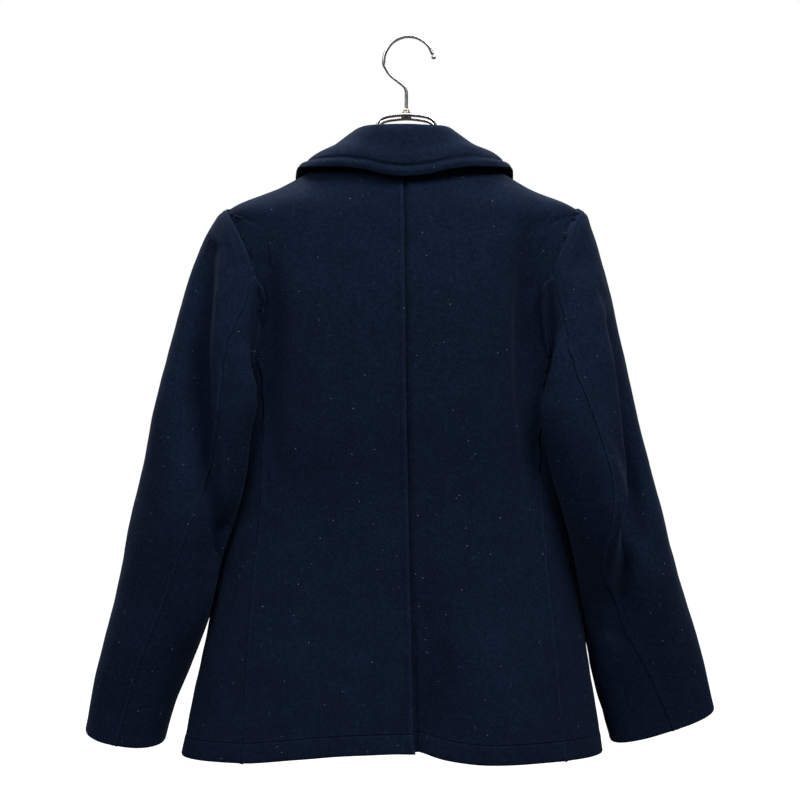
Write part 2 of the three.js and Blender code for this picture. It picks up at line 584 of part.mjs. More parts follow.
// The collar's visible face at one place round the neck: down the fall's outside from its edge, or, in this
// order, up the inside of the stand from the neckline, over the roll and down the fall.
function collarSection(at) {
  const side = at < 0 ? -1 : 1;
  const place = Math.abs(at);
  const line = (name) => collarLine(name, place);
  const neck = neckline(side, place);
  const roll = vec(body('mid', NECK_POINT_Z) + side * line('rollX'), line('rollY'), line('rollZ'));
  const bend = bodyCell(side, line('bend'), line('bendZ'), line('bendOff')).point;
  const edge = bodyCell(side, line('edge'), line('edgeZ'), line('edgeOff')).point;
  const outward = edge.clone().sub(roll).setZ(0).normalize();
  const height = roll.z - neck.point.z;
  // The stand starts just above the neckline and leans in; the roll is a tight round; the slope sags a little.
  const foot = neck.point.clone().addScaledVector(outward, -1).add(vec(0, 0, 0.8));
  const rise = roll.clone().addScaledVector(outward, -COLLAR_ROLL).add(vec(0, 0, -0.3 * height));
  const fall = roll.clone().addScaledVector(outward, COLLAR_ROLL).add(vec(0, 0, -0.55 * COLLAR_ROLL));
  const slope = fall.clone().lerp(bend, 0.5).add(vec(0, 0, -1.5));
  return new THREE.CatmullRomCurve3([foot, rise, roll, fall, slope, bend, edge], false, 'centripetal');
}

function collar() {
  const half = COLLAR_STEPS / 2;
  const point = (at, down) => collarSection(at).getPoint(down);
  const cells = grid(COLLAR_ROWS, COLLAR_STEPS, (row, column) => {
    const at = THREE.MathUtils.clamp((column - half) / half, -1, 1);
    const down = row / COLLAR_ROWS;
    const [from, to] = [Math.max(-1, at - 0.02), Math.min(1, at + 0.02)];
    const across = point(to, down).sub(point(from, down));
    const along = point(at, Math.min(1, down + 0.01)).sub(point(at, Math.max(0, down - 0.01)));
    return { point: point(at, down), normal: along.cross(across).normalize() };
  });
  return wall(drawIn(cells), COLLAR_CLOTH);
}

// It springs up near its roll line, most at the top, and lies flat at its outer edge.
function lapel(side) {
  const { gorge, tip, lowInner, lowOuter } = LAPELS[sideName(side)];
  const cells = grid(LAPEL_ROWS, LAPEL_COLUMNS, (row, column) => {
    const [down, out] = [row / LAPEL_ROWS, column / LAPEL_COLUMNS];
    const place = (i) => mix(mix(gorge[i], tip[i], out), mix(lowInner[i], lowOuter[i], out), down);
    const [x, z] = [place(0), place(1)];
    const roll = LAPEL_ROLL * Math.sin(Math.PI * Math.min(1, out + 0.25)) * (1 - 0.6 * down);
    const flat = frontCell(side, x, z);
    const off = frontLift(side, x, z) + LAYER_GAP + LAPEL_CLOTH + roll;
    return { point: flat.point.addScaledVector(flat.normal, off), normal: flat.normal };
  });
  return wall(drawIn(cells), LAPEL_CLOTH);
}

function pocketWelt(side) {
  const cells = grid(WELT_ROWS, WELT_COLUMNS, (row, column) => {
    const down = row / WELT_ROWS;
    const x = side * (POCKET.x + POCKET.slant * down + POCKET.width * (column / WELT_COLUMNS - 0.5));
    const z = mix(POCKET.top, POCKET.bottom, down);
    const flat = frontCell(side, x, z);
    const off = frontLift(side, x, z) + LAYER_GAP + CLOTH;
    return { point: flat.point.addScaledVector(flat.normal, off), normal: flat.normal };
  });
  return wall(cells, CLOTH);
}

// A four-hole coat button's blank: a disc with a raised rim, its axis along the front's normal.
function button(x, z) {
  const [radius, top] = [BUTTON_RADIUS, BUTTON_THICKNESS];
  const profile = [
    [0, 0], [radius - BUTTON_RIM, 0], [radius, 1.3 * BUTTON_EDGE], [radius, top - BUTTON_EDGE],
    [radius - BUTTON_EDGE, top], [radius - BUTTON_RIM, top - 0.3 * BUTTON_EDGE],
    [radius - 1.7 * BUTTON_RIM, top - 0.85 * BUTTON_DISH], [0, top - BUTTON_DISH],
  ].map(([across, height]) => new THREE.Vector2(across, height));
  const geometry = new THREE.LatheGeometry(profile, ROUND_STEPS);
  const seat = frontCell(-1, x, z, frontLift(-1, x, z) + LAYER_GAP);
  geometry.applyQuaternion(new THREE.Quaternion().setFromUnitVectors(vec(0, 1, 0), seat.normal));
  geometry.translate(...seat.point.toArray());
  return geometry;
}

// A round wire along points.
function wire(points, steps) {
  const section = new THREE.Shape().absarc(0, 0, WIRE_RADIUS, 0, 2 * Math.PI);
  const extrudePath = new THREE.CatmullRomCurve3(points, false, 'centripetal');
  return new THREE.ExtrudeGeometry(section, { steps, extrudePath, curveSegments: 4, bevelEnabled: false });
}

// A point under the shoulder for the hanger's wire to run through, clear of the cloth.
function underShoulder(side, x, y) {
  const around = (z) => THREE.MathUtils.radToDeg(Math.acos(y / body('back', z)));
  let z = NECK_POINT_Z;
  while (z > SHOULDER_TIP_Z && side * bodyPoint(side, around(z), z).x < x) z -= 0.5;
  const down = CLOTH + WIRE_RADIUS + WIRE_CLEARANCE;
  return bodyCell(side, around(z), z, -down).point;
}

// One wire bent into a long flat loop: over the arch at the neck, down under the shoulder and round its end.
function hangerFrame() {
  const archPoints = (side, y) => HANGER_ARCH.map(([x, z]) => vec(side * x, y, z));
  const shoulder = (side, y) => [80, 100, 120, 138, HANGER_REACH].map((x) => underShoulder(side, x, y));
  const run = (side, y) => [...archPoints(side, y), ...shoulder(side, y)];
  const end = (side, y) => {    // half a turn, from one wire to the other
    const tip = underShoulder(side, HANGER_REACH, y);
    const out = HANGER_WIRE_Y * 0.7;
    return [
      tip.clone().add(vec(side * out, -y * 0.3, -out * 0.5)),
      tip.clone().add(vec(side * HANGER_WIRE_Y, -y, -HANGER_WIRE_Y * 0.5)),
      tip.clone().add(vec(side * out, -y * 1.7, -out * 0.5)),
    ];
  };
  const y = HANGER_WIRE_Y;
  const crown = HANGER_ARCH[0][1] + 0.5;
  const points = [
    vec(HARD_GAP, y, crown), ...run(1, y), ...end(1, y), ...run(1, -y).reverse(), vec(0, -y, crown),
    ...run(-1, -y), ...end(-1, -y), ...run(-1, y).reverse(), vec(-HARD_GAP, y, crown),
  ];
  return wire(points, HANGER_STEPS);
}

// A point of the hook's arc, in degrees round its centre.
function hookPoint(degrees) {
  const angle = radians(degrees);
  return vec(
    HOOK_RADIUS * Math.cos(angle) - STEM_OFFSET,
    0,
    HOOK_RADIUS * (Math.sin(angle) - 1) + WIRE_RADIUS,
  );
}

function hangerHook() {
  const stem = HOOK_STEM.map(([x, z]) => vec(x, 0, z));
  return wire([...HOOK_ARC.map(hookPoint), ...stem, vec(0, 0, NUT_TOP + HARD_GAP)], HOOK_STEPS);
}

// The blob of weld that blunts the hook's open end.
function hookBall() {
  const end = hookPoint(HOOK_ARC[0] + 1);
  const onward = end.clone().sub(hookPoint(HOOK_ARC[0])).setLength(HOOK_BALL_RADIUS + HARD_GAP);
  return new THREE.SphereGeometry(HOOK_BALL_RADIUS, 12, 8).translate(...end.add(onward).toArray());
}

function nut() {
  const geometry = new THREE.CylinderGeometry(NUT_RADIUS - 0.2, NUT_RADIUS + 0.2, NUT_TOP - NUT_BOTTOM, 12);
  return geometry.rotateX(Math.PI / 2).translate(0, 0, (NUT_TOP + NUT_BOTTOM) / 2);
}

function bridge() {
  const depth = 2 * (HANGER_WIRE_Y - WIRE_RADIUS - HARD_GAP);
  const middle = NUT_BOTTOM - HARD_GAP - BRIDGE_HEIGHT / 2;
  return new THREE.BoxGeometry(BRIDGE_WIDTH, depth, BRIDGE_HEIGHT).translate(0, 0, middle);
}

// The hook's top is the origin; the coat and its hanger hang a little to one side of it, under the stem.
const coat = new THREE.Group();
coat.position.x = STEM_OFFSET;

function add(name, geometry, { color, roughness, metalness }) {
  const material = new THREE.MeshStandardMaterial({ color, roughness, metalness });
  const mesh = new THREE.Mesh(geometry, material);
  mesh.name = name;
  coat.add(mesh);
}

for (const side of [1, -1]) {
  const name = sideName(side);
  add(`back_${name}`, backPanel(side), WOOL);
  add(`side_${name}`, sidePanel(side), WOOL);
  add(`front_${name}`, frontPanel(side), WOOL);
  add(`upper_sleeve_${name}`, sleeveHalf(side, SLEEVE_BACK_STEP, SLEEVE_FRONT_STEP - ARMHOLE_STEPS), WOOL);
  add(`under_sleeve_${name}`, sleeveHalf(side, SLEEVE_BACK_STEP, SLEEVE_FRONT_STEP), WOOL);
  add(`lapel_${name}`, lapel(side), WOOL);
  add(`pocket_welt_${name}`, pocketWelt(side), WOOL);
}
add('collar', collar(), WOOL);
BUTTON_ROWS.forEach((z, row) => {
  add(`button_left_${row + 1}`, button(BUTTON_COLUMN, z), HORN);
  add(`button_right_${row + 1}`, button(-BUTTON_COLUMN, z), HORN);
});
add('hanger_frame', hangerFrame(), STEEL);
add('hanger_hook', hangerHook(), STEEL);
add('hook_ball', hookBall(), STEEL);
add('hanger_bridge', bridge(), STEEL);
add('hook_nut', nut(), BRASS);

export default coat;
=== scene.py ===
# %% [markdown]
# A short navy pea coat, seen from behind on a steel wire hanger. The real coat is thick melton wool: a
# cloth that is felted until its weave disappears, so it bends in wide soft folds, its edges are round,
# and its seams are pressed flat. The frame from the CAD holds the maker's pieces as plain walls. Here
# they are sewn, smoothed, creased and given their wool.

# %% Load the frame
import math

import bmesh
import bpy
import numpy as np
from mathutils.bvhtree import BVHTree
from mathutils import Matrix, Vector, kdtree, noise


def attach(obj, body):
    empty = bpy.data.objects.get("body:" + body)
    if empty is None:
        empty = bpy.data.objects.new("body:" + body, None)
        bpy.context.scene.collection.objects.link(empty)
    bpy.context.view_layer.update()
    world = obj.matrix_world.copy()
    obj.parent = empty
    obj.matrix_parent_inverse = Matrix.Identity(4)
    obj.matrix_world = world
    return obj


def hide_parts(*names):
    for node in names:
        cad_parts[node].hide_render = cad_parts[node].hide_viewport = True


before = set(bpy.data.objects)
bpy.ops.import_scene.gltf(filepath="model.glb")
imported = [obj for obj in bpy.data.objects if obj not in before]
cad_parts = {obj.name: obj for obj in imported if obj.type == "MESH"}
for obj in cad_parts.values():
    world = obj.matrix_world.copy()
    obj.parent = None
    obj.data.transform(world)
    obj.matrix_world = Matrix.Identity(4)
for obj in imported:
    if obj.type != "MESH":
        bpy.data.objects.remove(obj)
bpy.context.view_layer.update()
MM = 0.001
MIDDLE_X = 2.75 * MM    # the coat's middle: it hangs under the hook's stem

# %% [markdown]
# The photograph looks at the back, level, from a little over two metres. A long lens keeps the sleeves
# from spreading. Only the lens and the camera's place set the framing, so the views from other sides
# match.

# %% Camera
CAMERA_DISTANCE = 2.2
PHOTO_MIDDLE_X = MIDDLE_X + 7 * MM    # what the middle of the photograph shows
PHOTO_MIDDLE_Z = -0.398


def add_object(name, data):
    made = bpy.data.objects.new(name, data)
    bpy.context.scene.collection.objects.link(made)
    return made


camera = add_object("camera", bpy.data.cameras.new("camera"))
camera.data.lens = 90
camera.data.sensor_width = 36
camera.data.clip_end = 50
camera.location = (PHOTO_MIDDLE_X, CAMERA_DISTANCE, PHOTO_MIDDLE_Z)
camera.rotation_euler = (math.radians(90), 0, math.radians(180))
bpy.context.scene.camera = camera

# %% [markdown]
# Dark wool shows its form only by broad soft light that comes from one side more than the other. Two
# large panels hang high at the camera's sides, the stronger one on the right, and the front gets the same
# pair. The room is white to look at but lights the wool only a little, or its folds would fill in.

# %% Studio
AIM = Vector((0, 0, -0.42))    # near the coat's middle
PANELS = {    # place, size and power
    "key": ((-1.2, 1.5, 1.9), (1.2, 1.2), 125),
    "fill": ((1.6, 1.9, 1.3), (1.5, 1.5), 60),
    "front_key": ((1.2, -1.5, 1.9), (1.2, 1.2), 125),
    "front_fill": ((-1.6, -1.9, 1.3), (1.5, 1.5), 60),
    "top": ((0, 0, 1.9), (1.4, 1.0), 45),
}
for name, (place, size, power) in PANELS.items():
    panel = add_object(name, bpy.data.lights.new(name, "AREA"))
    panel.data.shape = "RECTANGLE"
    panel.data.size, panel.data.size_y = size
    panel.data.energy = power
    panel.location = place
    panel.rotation_euler = (AIM - Vector(place)).to_track_quat("-Z", "Y").to_euler()
print("lights:", list(PANELS))

world = bpy.data.worlds.new("white room")
world.use_nodes = True
room = world.node_tree
seen = room.nodes["Background"]
seen.inputs["Color"].default_value = (1, 1, 1, 1)
seen.inputs["Strength"].default_value = 1.0
lighting = room.nodes.new("ShaderNodeBackground")
lighting.inputs["Color"].default_value = (0.94, 0.97, 1, 1)
lighting.inputs["Strength"].default_value = 0.2
ray = room.nodes.new("ShaderNodeLightPath")
either = room.nodes.new("ShaderNodeMixShader")
room.links.new(ray.outputs["Is Camera Ray"], either.inputs["Fac"])
room.links.new(lighting.outputs["Background"], either.inputs[1])
room.links.new(seen.outputs["Background"], either.inputs[2])
room.links.new(either.outputs["Shader"], room.nodes["World Output"].inputs["Surface"])
bpy.context.scene.world = world
bpy.context.scene.view_settings.view_transform = "Standard"
# %% [markdown]
# Materials come next. Each piece gets a Principled shader. Its colour and roughness, and the wool's bump,
# come from textures in Object coordinates, so the grain keeps its real size on every piece.

# %% Node helpers
def new_material(name, roughness=0.5, metallic=0.0):
    material = bpy.data.materials.new(name)
    material.use_nodes = True
    shader = material.node_tree.nodes["Principled BSDF"]
    shader.inputs["Roughness"].default_value = roughness
    shader.inputs["Metallic"].default_value = metallic
    return material, material.node_tree, shader


def node(tree, kind, **settings):
    made = tree.nodes.new(kind)
    for name, value in settings.items():
        if name in made.inputs:
            made.inputs[name].default_value = value
        else:
            setattr(made, name, value)
    return made


def link(tree, source, output, target, socket):
    tree.links.new(source.outputs[output], target.inputs[socket])


def math_node(tree, operation, first, second, third=None):
    """A Math node. Each input is a number or a socket."""
    made = node(tree, "ShaderNodeMath", operation=operation)
    for socket, value in zip(made.inputs, (first, second, third)):
        if value is None:
            continue
        if isinstance(value, (int, float)):
            socket.default_value = value
        else:
            tree.links.new(value, socket)
    return made.outputs["Value"]


def stretch(tree, value, low, high, to_low=0.0, to_high=1.0):
    """Maps a value from one range to another, and no further."""
    made = node(tree, "ShaderNodeMapRange", interpolation_type="SMOOTHSTEP")
    for name, number in zip(("From Min", "From Max", "To Min", "To Max"), (low, high, to_low, to_high)):
        made.inputs[name].default_value = number
    tree.links.new(value, made.inputs["Value"])
    return made.outputs["Result"]


def mixed(tree, factor, first, second, blend="MIX"):
    """A Mix node for colours. Its inputs 6 and 7 are the two colours, and each is a tuple or a socket."""
    made = node(tree, "ShaderNodeMix", data_type="RGBA", blend_type=blend)
    for place, value in ((0, factor), (6, first), (7, second)):
        if isinstance(value, float):
            made.inputs[place].default_value = value
        elif isinstance(value, tuple):
            made.inputs[place].default_value = (*value, 1)
        else:
            tree.links.new(value, made.inputs[place])
    return made.outputs[2]


# %% [markdown]
# The photograph shows no ground, only white. The coat hangs free, so the floor is a plain disc well below
# it. A white floor would light the folds from underneath, so this one is grey to the light and glows
# white only to the camera.

# %% Floor
FLOOR_Z = -1.35
FLOOR_RADIUS = 14
disc = bmesh.new()
bmesh.ops.create_circle(disc, cap_ends=True, segments=96, radius=FLOOR_RADIUS)
bmesh.ops.translate(disc, verts=disc.verts, vec=(0, 0, FLOOR_Z))
floor = add_object("floor", bpy.data.meshes.new("floor"))
disc.to_mesh(floor.data)
disc.free()

floor_paint, tree, shader = new_material("floor_paint", roughness=0.9)
shader.inputs["Base Color"].default_value = (0.2, 0.2, 0.2, 1)
shader.inputs["Emission Color"].default_value = (1, 1, 1, 1)
link(tree, node(tree, "ShaderNodeLightPath"), "Is Camera Ray", shader, "Emission Strength")
floor.data.materials.append(floor_paint)

# %% [markdown]
# Melton is felt on a woven ground. From close by it is a mat of curled fibres in clumps a few millimetres
# wide, and a dark coat always carries pale lint. The mat is a node group, because the sewing thread is
# wool as well. Its ridged noise draws curled strands, and a plain noise makes the clumps.

# %% Felt, as a node group
felt = bpy.data.node_groups.new("felt", "ShaderNodeTree")
felt.interface.new_socket(name="Strand size", in_out="INPUT", socket_type="NodeSocketFloat")
felt.interface.new_socket(name="Shade", in_out="OUTPUT", socket_type="NodeSocketFloat")
felt.interface.new_socket(name="Height", in_out="OUTPUT", socket_type="NodeSocketFloat")
felt.interface.new_socket(name="Lint", in_out="OUTPUT", socket_type="NodeSocketFloat")
inside = node(felt, "NodeGroupInput")
outside = node(felt, "NodeGroupOutput")
place = node(felt, "ShaderNodeTexCoord")
per_metre = math_node(felt, "DIVIDE", 1.0, inside.outputs["Strand size"])

strands = node(felt, "ShaderNodeTexNoise", noise_type="RIDGED_MULTIFRACTAL", Detail=3.0, Roughness=0.6,
               Distortion=0.9, normalize=True)
link(felt, place, "Object", strands, "Vector")
felt.links.new(per_metre, strands.inputs["Scale"])
clumps = node(felt, "ShaderNodeTexNoise", Scale=320.0, Detail=3.0, Roughness=0.65)
link(felt, place, "Object", clumps, "Vector")
patches = node(felt, "ShaderNodeTexNoise", Scale=38.0, Detail=2.0, Roughness=0.5)
link(felt, place, "Object", patches, "Vector")

strand_shade = stretch(felt, strands.outputs["Fac"], 0.15, 0.95, 0.66, 1.5)
clump_shade = stretch(felt, clumps.outputs["Fac"], 0.3, 0.72, 0.75, 1.3)
patch_shade = stretch(felt, patches.outputs["Fac"], 0.25, 0.75, 0.93, 1.08)
shade = math_node(felt, "MULTIPLY", math_node(felt, "MULTIPLY", strand_shade, clump_shade), patch_shade)
felt.links.new(shade, outside.inputs["Shade"])
height = math_node(felt, "MULTIPLY_ADD", strands.outputs["Fac"], 0.5, clumps.outputs["Fac"])
felt.links.new(height, outside.inputs["Height"])

specks = node(felt, "ShaderNodeTexVoronoi", Scale=95.0, Randomness=1.0)
link(felt, place, "Object", specks, "Vector")
felt.links.new(stretch(felt, specks.outputs["Distance"], 0.045, 0.03), outside.inputs["Lint"])

# %% [markdown]
# Two numbers on each point of the cloth carry the sewing into the material: how far it lies from the seam
# that its own edge is pressed over, and how far from a turned-up hem. A machine stitch pulls a fine dent
# at the hem's upper end, and the seam's allowance shows faintly through the wool. Both are bumps, and both
# are darkened in the colour as well, as painted shade. The seam's pressed ridge is painted paler, as a
# painted highlight. An image could draw all this, but the numbers follow the cloth wherever it is cut.

# %% Wool
HEM_DEPTH = 21.0        # mm from the hem's fold to its stitches
SEAM_WIDTH = 6.5        # mm that the seam allowance shows through
NAVY = (0.0040, 0.0086, 0.0215)
LINT = (0.16, 0.18, 0.21)
wool, tree, shader = new_material("navy melton", roughness=0.9)
shader.inputs["Specular IOR Level"].default_value = 0.03
shader.inputs["Sheen Weight"].default_value = 0.018
shader.inputs["Sheen Roughness"].default_value = 0.45
shader.inputs["Sheen Tint"].default_value = (0.45, 0.62, 1.0, 1)
mat = node(tree, "ShaderNodeGroup", node_tree=felt)
mat.inputs["Strand size"].default_value = 0.0042


def line_at(tree, attribute, distance, half_width):
    """1 on a line that runs this far (mm) from a seam or hem, 0 beside it."""
    carried = node(tree, "ShaderNodeAttribute", attribute_name=attribute)
    off = math_node(tree, "ABSOLUTE", math_node(tree, "SUBTRACT", carried.outputs["Fac"], distance), 0)
    return stretch(tree, off, half_width, 0.0)


hem_stitch = line_at(tree, "hem_mm", HEM_DEPTH, half_width=1.3)
allowance = line_at(tree, "seam_mm", SEAM_WIDTH, half_width=1.4)
# painted highlight: the ridge beside the seam's edge is painted paler
ridge_highlight_line = line_at(tree, "seam_mm", 1.8, half_width=2.2)
stitched = math_node(tree, "MULTIPLY", hem_stitch, 0.7)
dents = math_node(tree, "MULTIPLY_ADD", allowance, 0.25, stitched)

painted_highlight = math_node(tree, "MULTIPLY_ADD", ridge_highlight_line, 0.35, 1.0)
# painted shade: the stitch and allowance dents are darkened in colour as well as bumped
painted_dent_shade = math_node(tree, "MULTIPLY_ADD", dents, -0.4, 1.0)
felt_and_highlight = math_node(tree, "MULTIPLY", mat.outputs["Shade"], painted_highlight)
shaded = math_node(tree, "MULTIPLY", felt_and_highlight, painted_dent_shade)
navy = mixed(tree, 1.0, NAVY, shaded, blend="MULTIPLY")
tree.links.new(mixed(tree, mat.outputs["Lint"], navy, LINT), shader.inputs["Base Color"])
tree.links.new(stretch(tree, mat.outputs["Shade"], 0.4, 1.8, 0.96, 0.84), shader.inputs["Roughness"])

grain = node(tree, "ShaderNodeBump", Strength=0.9, Distance=0.0005)
link(tree, mat, "Height", grain, "Height")
sewing = node(tree, "ShaderNodeBump", Strength=1.0, Distance=0.0009, invert=True)
tree.links.new(dents, sewing.inputs["Height"])
link(tree, grain, "Normal", sewing, "Normal")
link(tree, sewing, "Normal", shader, "Normal")

# %% [markdown]
# The hanger is drawn steel wire: round, bright, and brushed lengthwise by the die. The plated nut has
# fine scratches too, so they are a node group: a noise that is stretched along Z until it runs in lines.

# %% Fine scratches, as a node group
scratches = bpy.data.node_groups.new("fine scratches", "ShaderNodeTree")
scratches.interface.new_socket(name="Density", in_out="INPUT", socket_type="NodeSocketFloat")
scratches.interface.new_socket(name="Wear", in_out="OUTPUT", socket_type="NodeSocketFloat")
inside = node(scratches, "NodeGroupInput")
outside = node(scratches, "NodeGroupOutput")
place = node(scratches, "ShaderNodeTexCoord")
drawn = node(scratches, "ShaderNodeMapping", Scale=(1.0, 1.0, 0.12))
link(scratches, place, "Object", drawn, "Vector")
marks = node(scratches, "ShaderNodeTexNoise", Detail=5.0, Roughness=0.7)
link(scratches, drawn, "Vector", marks, "Vector")
scratches.links.new(inside.outputs["Density"], marks.inputs["Scale"])
scratches.links.new(stretch(scratches, marks.outputs["Fac"], 0.35, 0.7), outside.inputs["Wear"])

SCRATCHES_PER_METRE = 900.0
SCRATCHED = 0.72    # of the metal's own colour


def plated(name, colour, roughness):
    """A polished metal, duller where it is scratched."""
    metal, tree, shader = new_material(name, roughness=roughness, metallic=1.0)
    worn = node(tree, "ShaderNodeGroup", node_tree=scratches)
    worn.inputs["Density"].default_value = SCRATCHES_PER_METRE
    dull = tuple(SCRATCHED * part for part in colour)
    tree.links.new(mixed(tree, worn.outputs["Wear"], colour, dull), shader.inputs["Base Color"])
    tree.links.new(stretch(tree, worn.outputs["Wear"], 0, 1, roughness - 0.05, roughness + 0.12),
                   shader.inputs["Roughness"])
    return metal


steel = plated("drawn steel", (0.40, 0.39, 0.375), 0.24)
brass = plated("plated nut", (0.30, 0.27, 0.20), 0.3)
dark_steel = plated("dark steel", (0.05, 0.048, 0.046), 0.35)

# %% [markdown]
# The buttons are dark horn, with pale streaks deep in the gloss. A noise would look like stone, so a wave
# texture is distorted until its bands look grown. Their thread is the wool's felt again, at a finer size.

# %% Horn and thread
horn, tree, shader = new_material("dark horn", roughness=0.3)
place = node(tree, "ShaderNodeTexCoord")
streaks = node(tree, "ShaderNodeTexWave", Scale=90.0, Distortion=7.0, Detail=3.0)
link(tree, place, "Object", streaks, "Vector")
tone = mixed(tree, streaks.outputs["Fac"], (0.010, 0.011, 0.016), (0.032, 0.030, 0.032))
tree.links.new(tone, shader.inputs["Base Color"])
tree.links.new(stretch(tree, streaks.outputs["Fac"], 0, 1, 0.26, 0.4), shader.inputs["Roughness"])

thread, tree, shader = new_material("button thread", roughness=0.8)
twisted = node(tree, "ShaderNodeGroup", node_tree=felt)
twisted.inputs["Strand size"].default_value = 0.0008
dyed = mixed(tree, 1.0, (0.006, 0.009, 0.018), twisted.outputs["Shade"], blend="MULTIPLY")
tree.links.new(dyed, shader.inputs["Base Color"])
print("materials:", [material.name for material in bpy.data.materials])

# %% [markdown]
# The cloth starts from the CAD's walls. Smoothing a wall whole would round its two sides into each other
# at the rim. So only its outer side is taken, as a sheet with no thickness, and the wool gets its
# thickness back at the end.

# %% Take the outer side of a wall
CLOTH = 2.4 * MM
SHARP = math.radians(55)       # a wall bends more than this at its rim
RIM_BEND = math.radians(25)    # or at least this, where the rim is rounder
RIM_LENGTH = 1.3 * CLOTH       # a rim's faces have an edge shorter than this


def merged_copy(name, reach, bend, skew):
    """A CAD node's mesh, its points merged and its triangles joined into quads. Angles are in degrees."""
    copy = bmesh.new()
    copy.from_mesh(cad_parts[name].data)
    bmesh.ops.remove_doubles(copy, verts=copy.verts, dist=reach)
    bmesh.ops.join_triangles(copy, faces=copy.faces, angle_face_threshold=math.radians(bend),
                             angle_shape_threshold=math.radians(skew))
    return copy


def outer_sheet(name, away_from):
    """The outer side of a CAD wall: of its two large smooth sides, the one that faces away from a point."""
    sheet = merged_copy(name, 0.05 * MM, 60, 90)
    sides = []
    unseen = set(sheet.faces)
    while unseen:
        side = [unseen.pop()]
        for face in side:
            for edge in face.edges:
                if len(edge.link_faces) == 2 and edge.calc_face_angle() < SHARP:
                    for other in edge.link_faces:
                        if other in unseen:
                            unseen.remove(other)
                            side.append(other)
        sides.append(side)
    sides.sort(key=lambda side: -sum(face.calc_area() for face in side))
    facing = [sum(f.calc_area() * f.normal.dot(f.calc_center_median() - away_from) for f in side)
              for side in sides[:2]]
    keep = set(sides[0] if facing[0] > facing[1] else sides[1])
    bmesh.ops.delete(sheet, geom=[face for face in sheet.faces if face not in keep], context="FACES")
    rims = [face for face in sheet.faces if any(edge.is_boundary for edge in face.edges)
            and min(edge.calc_length() for edge in face.edges) < RIM_LENGTH
            and max(edge.calc_face_angle(0) for edge in face.edges) > RIM_BEND]
    bmesh.ops.delete(sheet, geom=rims, context="FACES")
    return sheet


# %% [markdown]
# On a real coat the panels pull on each other through their seams. Smoothing them one by one would part
# them there, so all the sheets are sewn into one skin first. Points that face each other across a seam
# are merged, and each face carries its piece's number, so that the skin can be cut apart again.

# %% Sew the sheets into one skin
TRUNK = Vector((MIDDLE_X, 0, -0.45))    # a point inside the body, and one inside each sleeve
IN_SLEEVE = {"left": Vector((0.26, 0, -0.5)), "right": Vector((-0.25, 0, -0.5))}
SEWN = {}
for side in ("left", "right"):
    for panel in ("back", "side", "front"):
        SEWN[f"{panel}_{side}"] = TRUNK
    for half in ("upper_sleeve", "under_sleeve"):
        SEWN[f"{half}_{side}"] = IN_SLEEVE[side]
NAMES = list(SEWN)
SEAM_REACH = 0.9 * MM     # wider than the gap that the CAD leaves at a seam

skin = bmesh.new()
piece_layer = skin.faces.layers.int.new("piece")
scratch_mesh = bpy.data.meshes.new("scratch")
for number, (name, away_from) in enumerate(SEWN.items(), 1):
    sheet = outer_sheet(name, away_from)
    sheet.to_mesh(scratch_mesh)
    sheet.free()
    skin.from_mesh(scratch_mesh)
    for face in skin.faces:
        if face[piece_layer] == 0:
            face[piece_layer] = number
bmesh.ops.remove_doubles(skin, verts=skin.verts, dist=SEAM_REACH)
rim = [vert for vert in skin.verts if vert.is_boundary]
bmesh.ops.remove_doubles(skin, verts=rim, dist=2 * SEAM_REACH)
# Under the shoulders' tips a few steep faces were left out with the rims, so small holes are closed there.
open_edges = [edge for edge in skin.edges if edge.is_boundary]
closed = bmesh.ops.holes_fill(skin, edges=open_edges, sides=9)["faces"]
for face in closed:
    face[piece_layer] = 0
for face in closed:
    beside = [other[piece_layer] for edge in face.edges for other in edge.link_faces if other[piece_layer]]
    face[piece_layer] = max(set(beside), key=beside.count)
bmesh.ops.recalc_face_normals(skin, faces=skin.faces)
print("skin:", len(skin.faces), "faces, open edges:", sum(edge.is_boundary for edge in skin.edges))

# %% [markdown]
# A sleeve is set in with a firm edge at the shoulder's tip, so the skin is creased a little there.
# Everywhere else the smoothing may round the cloth. Smoothing pulls a cage inwards, so the cage is
# swelled first, by as much as a trial shows it loses. Three levels give a point about every 3 mm, enough
# for the folds and seams.

# %% Smooth the skin
SMOOTHING = 3    # levels


def subdivided(source, levels):
    holder = add_object("holder", bpy.data.meshes.new("holder"))
    source.to_mesh(holder.data)
    finish = holder.modifiers.new("smooth", "SUBSURF")
    finish.levels = finish.render_levels = levels
    finish.boundary_smooth = "PRESERVE_CORNERS"
    graph = bpy.context.evaluated_depsgraph_get()
    result = bmesh.new()
    result.from_mesh(holder.evaluated_get(graph).data)
    bpy.data.objects.remove(holder)
    return result


def smoothed(source, levels=SMOOTHING):
    """The smooth form of a mesh that still passes through the mesh's own points."""
    wanted = [vert.co.copy() for vert in source.verts]
    for _ in range(2):
        trial = subdivided(source, 2)
        trial.verts.ensure_lookup_table()
        missed = [goal - trial.verts[i].co for i, goal in enumerate(wanted)]
        trial.free()
        for vert, miss in zip(source.verts, missed):
            vert.co += 0.9 * miss
    return subdivided(source, levels)


SHOULDER_Z = -0.27         # the crease runs above this
SHOULDER_X = 0.12          # and outside this
SHOULDER_CREASE = 0.5
crease = skin.edges.layers.float.new("crease_edge")
for edge in skin.edges:
    numbers = {face[piece_layer] for face in edge.link_faces}
    start = edge.verts[0].co
    if len(numbers) == 2 and start.z > SHOULDER_Z and abs(start.x) > SHOULDER_X:
        edge[crease] = SHOULDER_CREASE
skin = smoothed(skin)
piece_layer = skin.faces.layers.int["piece"]
print("smooth skin:", len(skin.faces), "faces")

# %% [markdown]
# From here on the skin's points are moved all at once, as NumPy arrays, where a loop would be slow. The
# helpers read and write them, and measure how far each point is from a line.

# %% Helpers for many points
FAR = 99.0    # mm, for a point with no such line


def smooth_step(x, start, end):
    t = np.clip((x - start) / (end - start), 0, 1)
    return t * t * (3 - 2 * t)


def bump(distance, width):
    """1 at no distance, falling off softly to either side."""
    return np.exp(-(distance / width) ** 2)


